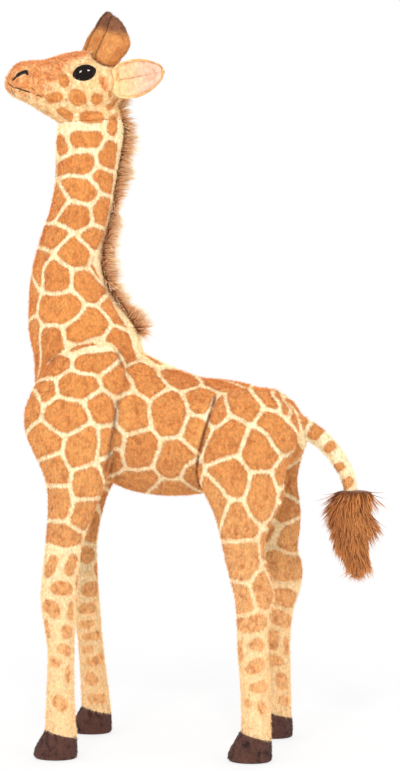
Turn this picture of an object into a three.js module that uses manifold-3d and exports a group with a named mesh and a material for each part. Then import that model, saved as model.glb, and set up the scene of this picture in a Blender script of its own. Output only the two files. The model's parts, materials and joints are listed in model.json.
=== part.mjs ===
// A standing plush giraffe, sewn and stuffed member by member round a bent wire armature.
// Millimetres. It faces -X, +Z is up, the floor is Z = 0, and its left side is -Y.
import * as THREE from 'three';
import { mergeVertices } from 'three/addons/utils/BufferGeometryUtils.js';
import Module from 'manifold-3d';

// Clearances
const gap = 0.3; // between neighbouring pieces
const swingClearance = 0.8; // round a piece that swings, on the outline of its recess

// Torso: its belly stands on legs of this height
const bellyHeight = 204.7;
const torsoLength = 215;
const torsoHeight = 124;
const torsoHalfWidth = 47;
const hipPlane = 33; // flat flanks that the leg lobes lie against, out from the middle

// Legs
const frontLobeDepth = 75; // front to back
const rearLobeDepth = 82;
const stanceHalfWidth = 66; // middle of the animal to the outside of a hoof
const hipSwing = 8; // degrees each way
const hoofLength = 33.5;
const hoofHalfWidth = 13.5;
const hoofHeight = 20;
const hoofSlope = 15; // degrees, the top edge rises to the front
const soleBoardLength = 23;
const soleBoardHalfWidth = 9;
const soleBoardThickness = 1.6;
const soleBoardRise = 3; // its underside above the floor

// Neck
const neckLength = 209; // root pivot to poll pivot, upright
const neckDepth = 88; // front to back at the root
const neckHalfWidth = 33;
const neckBallRadius = 56;
const neckBend = 12; // degrees each way
const headTurn = 22; // degrees to its left, as it stands
const manePile = 12.5;
const maneHalfThickness = 6;
const maneTuftPitch = 17;

// Head
const headLength = 98;
const headHeight = 61;
const headHalfWidth = 27;
const pollBallRadius = 22.5;
const headNod = 12; // degrees each way

// Horns, ears and eyes
const leftHornHeight = 33;
const rightHornHeight = 41.5; // sewn by hand, it stands taller and straighter
const hornRadius = 12.4;
const leftHornSweep = 5.5; // back from a straight axis, half way up
const rightHornSweep = 1.8;
const earLength = 50;
const earHalfWidth = 15.2;
const earHalfThickness = 4.2;
const earRootRadius = 5;
const earLiningThickness = 1.4;
const earFlap = 18; // degrees each way
const eyeLength = 19;
const eyeTall = 13.2;
const eyeBulge = 5.5;
const eyeShankRadius = 2;
const eyeShankLength = 13;
const eyeWasherRadius = 6;
const eyeWasherThickness = 1.8;

// Tail
const tailRootRadius = 8.5;
const tailTipRadius = 6;
const tailReach = 44; // back from its root
const tailDrop = 61;
const tailWag = 14; // degrees each way
const tuftLength = 72;
const tuftHalfLength = 21.5; // front to back
const tuftHalfWidth = 15;

// Armature
const wireRadius = 1.5;
const hipPinLength = 22; // inside the torso
const wireSides = 6;
const wireBore = wireRadius + gap;

const { cos, sin, PI } = Math;
const up = new THREE.Vector3(0, 0, 1);
const aside = new THREE.Vector3(0, 1, 0);
const point = (x, y, z) => new THREE.Vector3(x, y, z);
const mix = THREE.MathUtils.lerp;
const radians = THREE.MathUtils.degToRad;

const wasm = await Module();
wasm.setup();

// Solids: closed geometries are joined and cut as manifolds.
const weld = 0.01; // corners nearer than this are one

function solid(geometry, tolerance = weld / 100) {
  const bare = geometry.clone();
  bare.deleteAttribute('normal');
  bare.deleteAttribute('uv');
  const joined = mergeVertices(bare, tolerance);
  return new wasm.Manifold(new wasm.Mesh({
    numProp: 3,
    vertProperties: new Float32Array(joined.attributes.position.array),
    triVerts: new Uint32Array(joined.index.array),
  }));
}

function geometryOf(body) {
  const mesh = body.getMesh();
  const geometry = new THREE.BufferGeometry();
  geometry.setAttribute('position', new THREE.BufferAttribute(mesh.vertProperties, 3));
  geometry.setIndex(new THREE.BufferAttribute(mesh.triVerts, 1));
  return geometry;
}

const joinAll = (bodies) => bodies.reduce((sum, body) => sum.add(body));
const cutAll = (body, tools) => tools.reduce((rest, tool) => rest.subtract(tool), body);

// A cut can leave slivers and offcuts: the piece is the largest body, its near corners welded.
const largest = (body) => body.decompose().reduce((most, part) => (part.volume() > most.volume() ? part : most));
const cleaned = (body) => largest(solid(geometryOf(largest(body)), weld));

// The same geometry turned about a line through a pivot.
function turned(geometry, pivot, axis, degrees) {
  const turn = new THREE.Matrix4().makeRotationAxis(axis, radians(degrees));
  return geometry.clone()
    .translate(-pivot.x, -pivot.y, -pivot.z)
    .applyMatrix4(turn)
    .translate(pivot.x, pivot.y, pivot.z);
}

// What a solid sweeps through as it swings, taken at rest and at both limits.
function swept(body, pivot, axis, degrees) {
  const shape = geometryOf(body);
  return joinAll([-degrees, 0, degrees].map((angle) => solid(turned(shape, pivot, axis, angle))));
}

// A closed skin through rings, each an ellipse with half axes `across` and `deep`, with a pole at either end.
function loft(rings, sides) {
  const spots = [];
  const faces = [];
  const first = rings[0];
  const last = rings[rings.length - 1];
  spots.push(first.pole ?? first.at);
  for (const ring of rings) {
    for (let side = 0; side < sides; side += 1) {
      const angle = (2 * PI * side) / sides;
      spots.push(ring.at.clone().addScaledVector(ring.across, cos(angle)).addScaledVector(ring.deep, sin(angle)));
    }
  }
  spots.push(last.pole ?? last.at);
  const spot = (ring, side) => 1 + ring * sides + (side % sides);
  const end = rings.length - 1;
  for (let side = 0; side < sides; side += 1) {
    faces.push(0, spot(0, side + 1), spot(0, side));
    for (let ring = 0; ring < end; ring += 1) {
      faces.push(spot(ring, side), spot(ring, side + 1), spot(ring + 1, side));
      faces.push(spot(ring, side + 1), spot(ring + 1, side + 1), spot(ring + 1, side));
    }
    faces.push(spots.length - 1, spot(end, side), spot(end, side + 1));
  }
  const geometry = new THREE.BufferGeometry();
  geometry.setAttribute('position', new THREE.Float32BufferAttribute(spots.flatMap((v) => v.toArray()), 3));
  geometry.setIndex(faces);
  return geometry;
}

function ball(centre, radius, sides) {
  return new THREE.SphereGeometry(radius, sides, sides / 2).translate(centre.x, centre.y, centre.z);
}

// Everything beyond a plane, as far as `reach`.
function beyond(spot, normal, reach) {
  const box = new THREE.BoxGeometry(reach, reach, reach).translate(0, 0, reach / 2);
  box.applyQuaternion(new THREE.Quaternion().setFromUnitVectors(up, normal.clone().normalize()));
  return solid(box.translate(spot.x, spot.y, spot.z));
}

// A round bar along a curve, and a straight one between two points.
function bar(curve, radius, steps) {
  const section = new THREE.Shape();
  for (let side = 0; side < wireSides; side += 1) {
    const angle = (2 * PI * side) / wireSides;
    const corner = [radius * cos(angle), radius * sin(angle)];
    if (side === 0) section.moveTo(...corner);
    else section.lineTo(...corner);
  }
  section.closePath();
  return solid(new THREE.ExtrudeGeometry(section, { steps, bevelEnabled: false, extrudePath: curve }));
}

function rod(from, to, radius, sides) {
  const along = to.clone().sub(from);
  const cylinder = new THREE.CylinderGeometry(radius, radius, along.length(), sides);
  cylinder.applyQuaternion(new THREE.Quaternion().setFromUnitVectors(aside, along.clone().normalize()));
  const middle = from.clone().add(to).divideScalar(2);
  return solid(cylinder.translate(middle.x, middle.y, middle.z));
}

// A table row between its neighbours, found by its first column.
function rowAt(table, key) {
  const after = Math.max(1, table.findIndex((row) => row[0] >= key));
  const [low, high] = [table[after - 1], table[after]];
  const share = (key - low[0]) / (high[0] - low[0]);
  return low.map((value, column) => mix(value, high[column], share));
}

// Finishes
const finish = (color, roughness) => new THREE.MeshStandardMaterial({ color, roughness, metalness: 0 });
const spottedPlush = finish(0xe3a566, 0.95);
const palePlush = finish(0xf3d3a2, 0.95);
const hoofPlush = finish(0x5a3a33, 0.9);
const brownPile = finish(0xa5683a, 0.95);
const earPlush = finish(0xf5c9b0, 0.9);
const hornPlush = finish(0xeba055, 0.95);
const hornCapPlush = finish(0x8a5548, 0.95);
const eyePlastic = finish(0x120c0a, 0.08);
const washerPlastic = finish(0xe8e6e0, 0.5);
const soleBoardFibre = finish(0x9a8468, 0.8);
const armatureSteel = new THREE.MeshStandardMaterial({ color: 0xb9bcc0, roughness: 0.35, metalness: 1 });

function add(group, name, body, material) {
  const mesh = new THREE.Mesh(geometryOf(cleaned(body)), material);
  mesh.name = name;
  group.add(mesh);
  return mesh;
}

function groupAt(parent, spot) {
  const group = new THREE.Group();
  group.position.copy(spot);
  parent.add(group);
  return group;
}

const giraffe = new THREE.Group();

// Places along the torso, from the front of the chest at zero share to the rump
const alongTorso = (share) => mix(-torsoLength / 2, torsoLength / 2, share);
const upTorso = (share) => bellyHeight + share * torsoHeight;
const neckPivotShare = { along: 0.167, rise: 0.81 };
const frontHipShare = { along: 0.177, rise: 0.51 };
const rearHipShare = { along: 0.819, rise: 0.325 };
const tailRootShare = { along: 0.972, rise: 0.47 };
const placeOnTorso = (share) => point(alongTorso(share.along), 0, upTorso(share.rise));
const neckPivot = placeOnTorso(neckPivotShare);
const tailPivot = placeOnTorso(tailRootShare);

// Torso skin: place along, top, bottom and half width
const torsoShares = [
  [0.014, 0.865, 0.543, 0.47],
  [0.051, 0.946, 0.381, 0.66],
  [0.107, 0.994, 0.252, 0.79],
  [0.181, 0.994, 0.156, 0.85],
  [0.251, 0.978, 0.103, 0.89],
  [0.33, 0.946, 0.043, 0.95],
  [0.4, 0.91, 0.015, 0.98],
  [0.498, 0.833, 0, 1],
  [0.609, 0.76, 0.015, 1],
  [0.702, 0.744, 0.059, 0.98],
  [0.795, 0.712, 0.115, 0.94],
  [0.879, 0.648, 0.156, 0.87],
  [0.944, 0.583, 0.204, 0.74],
  [0.981, 0.51, 0.269, 0.55],
];
const torsoEndRiseShare = 0.4;

function torsoSkin(grow) {
  const rings = torsoShares.map(([along, top, bottom, half]) => ({
    at: point(alongTorso(along), 0, upTorso((top + bottom) / 2)),
    across: point(0, half * torsoHalfWidth + grow, 0),
    deep: point(0, 0, ((top - bottom) / 2) * torsoHeight + grow),
  }));
  rings[0].pole = point(alongTorso(0) - grow, 0, rings[0].at.z);
  rings[rings.length - 1].pole = point(alongTorso(1) + grow, 0, upTorso(torsoEndRiseShare));
  return solid(loft(rings, 24));
}

// Neck skin: place along, front edge, back edge, half width
const neckShares = [
  [-0.043, -0.443, 0.55, 1],
  [0.041, -0.449, 0.545, 1],
  [0.08, -0.47, 0.539, 1],
  [0.158, -0.508, 0.497, 0.985],
  [0.235, -0.508, 0.358, 0.94],
  [0.313, -0.499, 0.228, 0.88],
  [0.39, -0.475, 0.173, 0.82],
  [0.468, -0.43, 0.168, 0.76],
  [0.545, -0.374, 0.209, 0.73],
  [0.623, -0.309, 0.247, 0.706],
  [0.7, -0.272, 0.274, 0.7],
  [0.778, -0.253, 0.302, 0.7],
  [0.856, -0.253, 0.339, 0.71],
  [0.933, -0.244, 0.3625, 0.73],
  [1.01, -0.2, 0.33, 0.68],
];
const neckRing = ([along, front, back, half], grow) => ({
  at: point(neckPivot.x + ((front + back) / 2) * neckDepth, 0, neckPivot.z + along * neckLength),
  across: point(((back - front) / 2) * neckDepth + grow, 0, 0),
  deep: point(0, half * neckHalfWidth + grow, 0),
});
const neckSkin = (grow) => solid(loft(neckShares.map((row) => neckRing(row, grow)), 20));
const neckCentre = (share) => neckRing(rowAt(neckShares, share), 0).at;
const turnShare = 0.623; // where the upper neck twists on the lower
const turnPivot = neckCentre(turnShare);
const turnAxis = neckCentre(0.7).sub(neckCentre(0.545)).normalize();
const pollShare = { along: 1, back: 0.102 };
const poll = point(neckPivot.x + pollShare.back * neckDepth, 0, neckPivot.z + pollShare.along * neckLength);
const neckReach = 2 * (neckLength + neckDepth);
const aboveTurn = (clearance) => beyond(turnPivot.clone().addScaledVector(turnAxis, clearance), turnAxis, neckReach);
const belowTurn = (clearance) => beyond(
  turnPivot.clone().addScaledVector(turnAxis, clearance),
  turnAxis.clone().negate(),
  neckReach,
);

// Neck armature, radial where it crosses the ball at the root
const rootOut = neckCentre(0.26).sub(neckPivot).normalize();
const onRoot = (distance) => neckPivot.clone().addScaledVector(rootOut, distance);
const wireOverrun = 4 * wireRadius;
const neckWireSteps = 12;

function neckBar(radius) {
  const spots = [onRoot(neckBallRadius - wireOverrun), onRoot(neckBallRadius + wireOverrun)];
  for (const share of [0.38, 0.45, 0.53]) spots.push(neckCentre(share));
  spots.push(turnPivot, turnPivot.clone().addScaledVector(turnAxis, wireOverrun));
  return bar(new THREE.CatmullRomCurve3(spots), radius, neckWireSteps);
}

function upperNeckBar(radius) {
  const spots = [turnPivot.clone().addScaledVector(turnAxis, -wireOverrun), turnPivot];
  for (const share of [0.7, 0.8]) spots.push(neckCentre(share));
  spots.push(poll.clone().addScaledVector(up, -pollBallRadius - wireOverrun));
  spots.push(poll.clone().addScaledVector(up, wireOverrun - pollBallRadius));
  return bar(new THREE.CatmullRomCurve3(spots), radius, neckWireSteps);
}

const rootBall = (clearance) => solid(ball(neckPivot, neckBallRadius + clearance, 40));
const turnGap = gap / 2;
const lowerNeckFull = cutAll(neckSkin(0), [rootBall(gap), aboveTurn(-turnGap)]);

// Legs: height, front edge, back edge, outer side and inner side, from the sole up to the top of the lobe
const frontLegShares = [
  [0.03, -0.31, 0.02, 1, 0.667],
  [0.092, -0.305, -0.003, 0.988, 0.667],
  [0.172, -0.295, -0.02, 0.97, 0.66],
  [0.252, -0.285, -0.021, 0.96, 0.644],
  [0.319, -0.325, -0.016, 0.96, 0.614],
  [0.38, -0.365, -0.004, 0.962, 0.576],
  [0.429, -0.355, 0.007, 0.952, 0.567],
  [0.491, -0.33, 0.033, 0.932, 0.553],
  [0.552, -0.31, 0.107, 0.917, 0.53],
  [0.613, -0.3, 0.213, 0.91, 0.508],
  [0.669, -0.33, 0.297, 0.917, 0.42],
  [0.724, -0.435, 0.356, 0.932, 0.34],
  [0.773, -0.54, 0.397, 0.94, 0.3],
  [0.822, -0.57, 0.427, 0.932, 0.3],
  [0.859, -0.535, 0.447, 0.917, 0.3],
  [0.914, -0.42, 0.488, 0.864, 0.3],
  [0.963, -0.28, 0.487, 0.79, 0.3],
  [0.991, -0.08, 0.413, 0.7, 0.35],
];
const rearLegShares = [
  [0.03, -0.091, 0.189, 0.939, 0.621],
  [0.124, -0.083, 0.185, 0.924, 0.615],
  [0.214, -0.098, 0.177, 0.909, 0.606],
  [0.303, -0.122, 0.159, 0.898, 0.595],
  [0.372, -0.128, 0.176, 0.894, 0.583],
  [0.434, -0.146, 0.216, 0.894, 0.561],
  [0.493, -0.2, 0.193, 0.894, 0.545],
  [0.545, -0.244, 0.124, 0.894, 0.53],
  [0.607, -0.293, 0.137, 0.902, 0.515],
  [0.662, -0.346, 0.223, 0.909, 0.508],
  [0.71, -0.427, 0.302, 0.909, 0.47],
  [0.759, -0.502, 0.307, 0.909, 0.394],
  [0.814, -0.507, 0.36, 0.909, 0.303],
  [0.869, -0.463, 0.44, 0.894, 0.3],
  [0.924, -0.402, 0.427, 0.848, 0.3],
  [0.966, -0.341, 0.329, 0.773, 0.3],
  [0.99, -0.232, 0.207, 0.697, 0.35],
];

// The right legs stand a little otherwise than the left: height and shift back
const squareStanceShares = [[0, 0], [1, 0]];
const frontRightStanceShares = [[0, 0.14], [0.12, 0.13], [0.28, 0.06], [0.47, -0.025], [0.62, -0.1], [0.78, 0], [1, 0]];
const rearRightStanceShares = [
  [0, 0.13], [0.2, 0.12], [0.4, 0.17], [0.52, 0.25], [0.62, 0.27], [0.665, 0.18], [0.71, 0.08], [0.83, 0.07], [0.93, 0], [1, 0],
];

const legs = ['front', 'rear'].flatMap((end) => ['left', 'right'].map((hand) => {
  const front = end === 'front';
  const stances = front ? frontRightStanceShares : rearRightStanceShares;
  return {
    name: `${end}_${hand}`,
    side: hand === 'left' ? -1 : 1,
    hip: placeOnTorso(front ? frontHipShare : rearHipShare),
    height: upTorso(front ? 0.978 : 0.688),
    depth: front ? frontLobeDepth : rearLobeDepth,
    shares: front ? frontLegShares : rearLegShares,
    stanceShares: hand === 'left' ? squareStanceShares : stances,
    topShare: front ? 0.2 : 0,
  };
}));

function legRing(leg, [height, front, back, outer, inner], grow) {
  const shift = rowAt(leg.stanceShares, height)[1];
  const middle = leg.side * ((outer + inner) / 2) * stanceHalfWidth;
  return {
    at: point(leg.hip.x + ((front + back) / 2 + shift) * leg.depth, middle, height * leg.height),
    across: point(((back - front) / 2) * leg.depth + grow, 0, 0),
    deep: point(0, ((outer - inner) / 2) * stanceHalfWidth + grow, 0),
  };
}

function legSkin(leg, grow) {
  const rings = leg.shares.map((row) => legRing(leg, row, grow));
  const top = rings[rings.length - 1];
  top.pole = point(leg.hip.x + leg.topShare * leg.depth, top.at.y, leg.height + grow);
  return solid(loft(rings, 16));
}

// Only what lies outside a flank, so that the lobe's inner face is flat
function outsideFlank(leg, body, distance) {
  const spot = point(leg.hip.x, leg.side * distance, leg.height / 2);
  return body.subtract(beyond(spot, point(0, -leg.side, 0), 2 * (leg.height + torsoLength)));
}

const ankleShare = (leg) => hoofHeight / leg.height;
const legCentre = (leg, share) => legRing(leg, rowAt(leg.shares, share), 0).at;
const slopeNormal = point(sin(radians(hoofSlope)), 0, cos(radians(hoofSlope)));
const overHoof = (leg, clearance) => beyond(
  legCentre(leg, ankleShare(leg)).addScaledVector(slopeNormal, clearance),
  slopeNormal,
  2 * leg.height,
);
const underHoofTop = (leg, clearance) => beyond(
  legCentre(leg, ankleShare(leg)).addScaledVector(slopeNormal, clearance),
  slopeNormal.clone().negate(),
  2 * leg.height,
);

// Hoof skin: height, toe, heel and half width, about the ankle
const hoofShares = [
  [0, -0.62, 0.35, 0.96],
  [0.14, -0.64, 0.36, 1],
  [0.45, -0.59, 0.36, 0.97],
  [0.8, -0.47, 0.35, 0.87],
  [1.15, -0.37, 0.345, 0.8],
  [1.6, -0.36, 0.34, 0.8],
];

function hoofSkin(leg) {
  const ankle = legCentre(leg, ankleShare(leg));
  return solid(loft(hoofShares.map(([height, toe, heel, half]) => ({
    at: point(ankle.x + ((toe + heel) / 2) * hoofLength, ankle.y, height * hoofHeight),
    across: point(((heel - toe) / 2) * hoofLength, 0, 0),
    deep: point(0, half * hoofHalfWidth, 0),
  })), 16));
}

const soleBoardTop = soleBoardRise + soleBoardThickness;

function soleBoard(leg, grow) {
  const ankle = legCentre(leg, ankleShare(leg));
  const outline = new THREE.Shape();
  outline.absellipse(0, 0, soleBoardLength / 2 + grow, soleBoardHalfWidth + grow, 0, 2 * PI);
  const plate = new THREE.ExtrudeGeometry(outline, {
    depth: soleBoardThickness + 2 * grow,
    bevelEnabled: false,
    curveSegments: 8,
  });
  return solid(plate.translate(ankle.x - 0.1 * hoofLength, ankle.y, soleBoardRise - grow));
}

// Leg armature: a straight hip pin on the hinge line, then a bar down the middle of the leg
function legBar(leg, radius) {
  const pinStart = point(leg.hip.x, leg.side * (hipPlane - hipPinLength), leg.hip.z);
  const pinEnd = point(leg.hip.x, leg.side * (hipPlane + 3 * wireRadius), leg.hip.z);
  const hipShare = leg.hip.z / leg.height;
  const elbow = point(leg.hip.x, leg.side * 0.72 * stanceHalfWidth, leg.hip.z - 4 * wireRadius);
  const spots = [pinEnd.clone().addScaledVector(aside, -leg.side * wireRadius), pinEnd, elbow];
  for (const share of [0.82, 0.66, 0.5, 0.36, 0.22]) spots.push(legCentre(leg, share * hipShare));
  const ankle = legCentre(leg, ankleShare(leg));
  spots.push(ankle, point(ankle.x, ankle.y, soleBoardTop + gap));
  return rod(pinStart, pinEnd, radius, wireSides).add(bar(new THREE.CatmullRomCurve3(spots), radius, 18));
}

// Tail: a curve back and down from its root, and the pile tuft that hangs from it
const tailPathShares = [[0, 0], [0.27, 0.115], [0.49, 0.24], [0.68, 0.39], [0.84, 0.56], [0.94, 0.72], [0.99, 0.88], [1, 1]];
const tailSpot = ([back, drop]) => point(tailPivot.x + back * tailReach, 0, tailPivot.z - drop * tailDrop);

function tailSkin(grow) {
  const path = new THREE.CatmullRomCurve3(tailPathShares.map(tailSpot));
  const steps = 10;
  const rings = [];
  for (let step = 0; step <= steps; step += 1) {
    const radius = mix(tailRootRadius, tailTipRadius, step / steps) + grow;
    const across = aside.clone().cross(path.getTangentAt(step / steps));
    rings.push({ at: path.getPointAt(step / steps), across: across.multiplyScalar(radius), deep: point(0, radius, 0) });
  }
  const end = rings[steps];
  end.pole = end.at.clone().addScaledVector(path.getTangentAt(1), end.deep.y / 2);
  return solid(loft(rings, 10));
}

const tailBall = (grow) => solid(ball(tailPivot, tailRootRadius + grow, 16));

// Tuft skin: drop from its top, drift of its middle, half length and half width
const tuftShares = [
  [0, 0.03, 0.66, 0.6],
  [0.05, 0.035, 0.83, 0.8],
  [0.22, 0.015, 0.92, 0.96],
  [0.4, 0.04, 1, 1],
  [0.56, 0.043, 0.86, 0.9],
  [0.73, 0.045, 0.67, 0.74],
  [0.9, 0.07, 0.46, 0.5],
];
const tuftSeatShare = 0.09; // of its length, that the tail reaches into it

function tuftSkin() {
  const root = tailSpot([1, 1]).addScaledVector(up, tuftSeatShare * tuftLength);
  const rings = tuftShares.map(([drop, drift, long, wide]) => ({
    at: point(root.x + drift * tuftLength, 0, root.z - drop * tuftLength),
    across: point(-long * tuftHalfLength, 0, 0),
    deep: point(0, wide * tuftHalfWidth, 0),
  }));
  const last = rings[rings.length - 1];
  last.pole = point(last.at.x, 0, root.z - tuftLength);
  return solid(loft(rings, 14));
}

// Torso, with a ball under the neck, flat recesses for the lobes, and bores for the armature
const spineRouteShares = [
  { along: 0.24, rise: 0.66 },
  { along: 0.42, rise: 0.52 },
  { along: 0.66, rise: 0.43 },
  { along: 0.86, rise: 0.38 },
];

const spineCurve = new THREE.CatmullRomCurve3([
  onRoot(neckBallRadius + wireOverrun),
  onRoot(neckBallRadius / 2),
  ...spineRouteShares.map(placeOnTorso),
]);
const spineBar = (radius) => bar(spineCurve, radius, 16);
const spineEnd = spineCurve.getTangentAt(1);
const spineWire = cutAll(spineBar(wireRadius), [
  beyond(onRoot(neckBallRadius - 2 * gap), rootOut, neckBallRadius),
  beyond(spineCurve.getPointAt(1).addScaledVector(spineEnd, -gap), spineEnd, neckBallRadius),
]);
const torsoTools = [
  swept(neckSkin(swingClearance), neckPivot, aside, neckBend).subtract(rootBall(0)),
  tailBall(gap),
  spineBar(wireBore),
];
for (const leg of legs) {
  const lobe = outsideFlank(leg, legSkin(leg, swingClearance), hipPlane);
  torsoTools.push(swept(lobe, leg.hip, aside, hipSwing));
  const pinBore = rod(
    point(leg.hip.x, leg.side * (hipPlane - hipPinLength - gap), leg.hip.z),
    point(leg.hip.x, leg.side * (hipPlane + hipPinLength), leg.hip.z),
    wireBore,
    wireSides,
  );
  torsoTools.push(pinBore);
}
const torsoBody = torsoSkin(0).add(neckSkin(0).intersect(rootBall(0)));
add(giraffe, 'torso', cutAll(torsoBody, torsoTools), spottedPlush);
add(giraffe, 'spine_wire', spineWire, armatureSteel);

for (const leg of legs) {
  const group = groupAt(giraffe, point(0, 0, 0));
  const bore = legBar(leg, wireBore);
  const lobe = outsideFlank(leg, legSkin(leg, 0), hipPlane + gap);
  add(group, `${leg.name}_leg`, cutAll(lobe, [underHoofTop(leg, turnGap), bore]), palePlush);
  add(group, `${leg.name}_leg_wire`, legBar(leg, wireRadius), armatureSteel);
  const hoof = cutAll(hoofSkin(leg), [overHoof(leg, -turnGap), soleBoard(leg, gap), bore]);
  add(group, `${leg.name}_hoof`, hoof, hoofPlush);
  add(group, `${leg.name}_sole_board`, soleBoard(leg, 0), soleBoardFibre);
}

// Tail
const tailGroup = groupAt(giraffe, point(0, 0, 0));
const torsoSeenByTail = swept(torsoSkin(gap), tailPivot, up, tailWag);
add(tailGroup, 'tail', largest(tailSkin(0).subtract(torsoSeenByTail)).add(tailBall(0)), palePlush);
add(tailGroup, 'tail_tuft', tuftSkin().subtract(tailSkin(gap)), brownPile);

// Mane: a strip down the back of the neck, with a tuft at every pitch
function maneSkin(fromShare, toShare) {
  const rings = [];
  const half = maneTuftPitch / 2 / neckLength;
  for (let share = fromShare; share < toShare; share += half) {
    const full = rings.length % 2 === 0;
    const ring = neckRing(rowAt(neckShares, share), 0);
    const above = neckRing(rowAt(neckShares, share + half), 0);
    const back = ring.at.clone().add(ring.across);
    const climb = above.at.clone().add(above.across).sub(back).normalize();
    const outward = aside.clone().cross(climb);
    rings.push({
      at: back,
      across: outward.multiplyScalar(full ? manePile : 0.72 * manePile),
      deep: point(0, full ? maneHalfThickness : 0.85 * maneHalfThickness, 0),
    });
  }
  return solid(loft(rings, 10));
}

const neckGroup = groupAt(giraffe, point(0, 0, 0));
add(neckGroup, 'neck', lowerNeckFull.subtract(neckBar(wireBore)), spottedPlush);
add(neckGroup, 'neck_wire', cutAll(neckBar(wireRadius), [rootBall(gap), aboveTurn(-turnGap)]), armatureSteel);
const maneLow = cutAll(maneSkin(0.2, 0.68), [neckSkin(gap), aboveTurn(-turnGap), rootBall(gap)]);
add(neckGroup, 'mane_lower', maneLow, brownPile);

// Head skin, about the poll: place along from the muzzle, top, bottom and half width
const headShares = [
  [0.024, 0.643, 0.43, 0.3],
  [0.065, 0.749, 0.348, 0.43],
  [0.137, 0.833, 0.315, 0.5],
  [0.239, 0.864, 0.241, 0.54],
  [0.341, 0.869, 0.143, 0.59],
  [0.433, 0.918, 0.077, 0.7],
  [0.524, 0.964, 0, 0.85],
  [0.616, 0.99, 0.003, 0.96],
  [0.718, 1, 0.052, 1],
  [0.82, 0.987, 0.151, 1],
  [0.902, 0.905, 0.249, 0.92],
  [0.963, 0.774, 0.348, 0.7],
];
const pollInHeadShare = { along: 0.77, rise: 0.184 };
const alongHead = (share) => (share - pollInHeadShare.along) * headLength;
const upHead = (share) => (share - pollInHeadShare.rise) * headHeight;
const onHead = (along, side, rise) => point(alongHead(along), side * headHalfWidth, upHead(rise));
const centre = point(0, 0, 0);

function headSkin(grow) {
  const rings = headShares.map(([along, top, bottom, half]) => ({
    at: point(alongHead(along), 0, upHead((top + bottom) / 2)),
    across: point(0, half * headHalfWidth + grow, 0),
    deep: point(0, 0, ((top - bottom) / 2) * headHeight + grow),
  }));
  rings[0].pole = point(alongHead(0) - grow, 0, rings[0].at.z);
  rings[rings.length - 1].pole = point(alongHead(1) + grow, 0, rings[rings.length - 1].at.z);
  return solid(loft(rings, 22));
}

const pollBall = (spot, grow) => solid(ball(spot, pollBallRadius + grow, 28));

// Horn: a stuffed cone, domed and dark at its top, that leans back and out and bows back on its way up
const hornProfileShares = [
  [0.3, -0.29], [0.62, -0.19], [0.84, -0.08], [0.95, 0.05], [1, 0.2], [1, 0.37], [0.9, 0.5], [0.72, 0.63], [0.62, 0.76],
  [0.43, 0.89], [0.26, 0.96],
];
const hornBaseShare = { side: 0.58, rise: 0.91 };
const hornCapShare = 0.58;
const horns = [
  { hand: 'left', side: -1, height: leftHornHeight, sweep: leftHornSweep, along: 0.828, back: 0.17, out: 0.05 },
  { hand: 'right', side: 1, height: rightHornHeight, sweep: rightHornSweep, along: 0.795, back: 0.33, out: 0.05 },
];
for (const horn of horns) {
  horn.base = onHead(horn.along, horn.side * hornBaseShare.side, hornBaseShare.rise);
  horn.axis = point(horn.back, horn.side * horn.out, 1).normalize();
}

function hornSkin(horn) {
  const profile = [new THREE.Vector2(0, hornProfileShares[0][1] * horn.height)];
  for (const [wide, rise] of hornProfileShares) profile.push(new THREE.Vector2(wide * hornRadius, rise * horn.height));
  profile.push(new THREE.Vector2(0, horn.height));
  const lathe = new THREE.LatheGeometry(profile, 14);
  const spots = lathe.attributes.position;
  for (let i = 0; i < spots.count; i += 1) {
    const rise = THREE.MathUtils.clamp(spots.getY(i) / horn.height, 0, 1);
    spots.setX(i, spots.getX(i) + horn.sweep * sin(PI * rise));
  }
  lathe.applyQuaternion(new THREE.Quaternion().setFromUnitVectors(aside, horn.axis));
  return solid(lathe.translate(horn.base.x, horn.base.y, horn.base.z));
}

// Ear: a leaf, scooped on its outer side for the lining, on a round root
const earShares = [
  [0.06, 0, 0.55],
  [0.15, 0, 0.84],
  [0.3, 0, 1],
  [0.57, 0.05, 0.95],
  [0.8, 0.11, 0.65],
  [0.92, 0.16, 0.38],
];
const earRootShare = { along: 0.845, side: 0.95, rise: 0.575 };
const earRoot = (side) => onHead(earRootShare.along, side * earRootShare.side, earRootShare.rise);
const earOut = (side) => point(1, side, 0.1).normalize();
const earFace = (side) => point(-1, side, 0).normalize();

function earLeaf(side, grow) {
  const out = earOut(side);
  const face = earFace(side);
  const rise = out.clone().cross(face).multiplyScalar(side).normalize();
  const rings = earShares.map(([along, lift, half]) => ({
    at: earRoot(side).addScaledVector(out, along * earLength).addScaledVector(rise, lift * earHalfWidth),
    across: face.clone().multiplyScalar(side * (earHalfThickness * (0.5 + half / 2) + grow)),
    deep: rise.clone().multiplyScalar(half * earHalfWidth + grow),
  }));
  const tip = rings[rings.length - 1];
  tip.pole = earRoot(side).addScaledVector(out, earLength + grow).addScaledVector(rise, 0.2 * earHalfWidth);
  return solid(loft(rings, 10));
}

function earScoop(side, shrink) {
  const scoop = new THREE.SphereGeometry(1, 14, 8);
  const reach = [0.52 * earLength - shrink, 0.95 * earHalfWidth - shrink, 1.5 * earHalfThickness - shrink];
  scoop.scale(...reach);
  const out = earOut(side);
  const face = earFace(side);
  scoop.applyMatrix4(new THREE.Matrix4().makeBasis(out, face.clone().cross(out), face));
  const middle = earRoot(side).addScaledVector(out, 0.54 * earLength).addScaledVector(face, 1.5 * earHalfThickness);
  return solid(scoop.translate(middle.x, middle.y, middle.z));
}

const earBall = (side, grow) => solid(ball(earRoot(side), earRootRadius + grow, 14));

// Eye: an oval dome on a shank, held by a washer inside the head
const eyeShare = { along: 0.628, side: 0.84, rise: 0.685 };
const eyeOut = (side) => point(-0.3, side, 0.16).normalize();
const eyeAt = (side) => onHead(eyeShare.along, side * eyeShare.side, eyeShare.rise);

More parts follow.
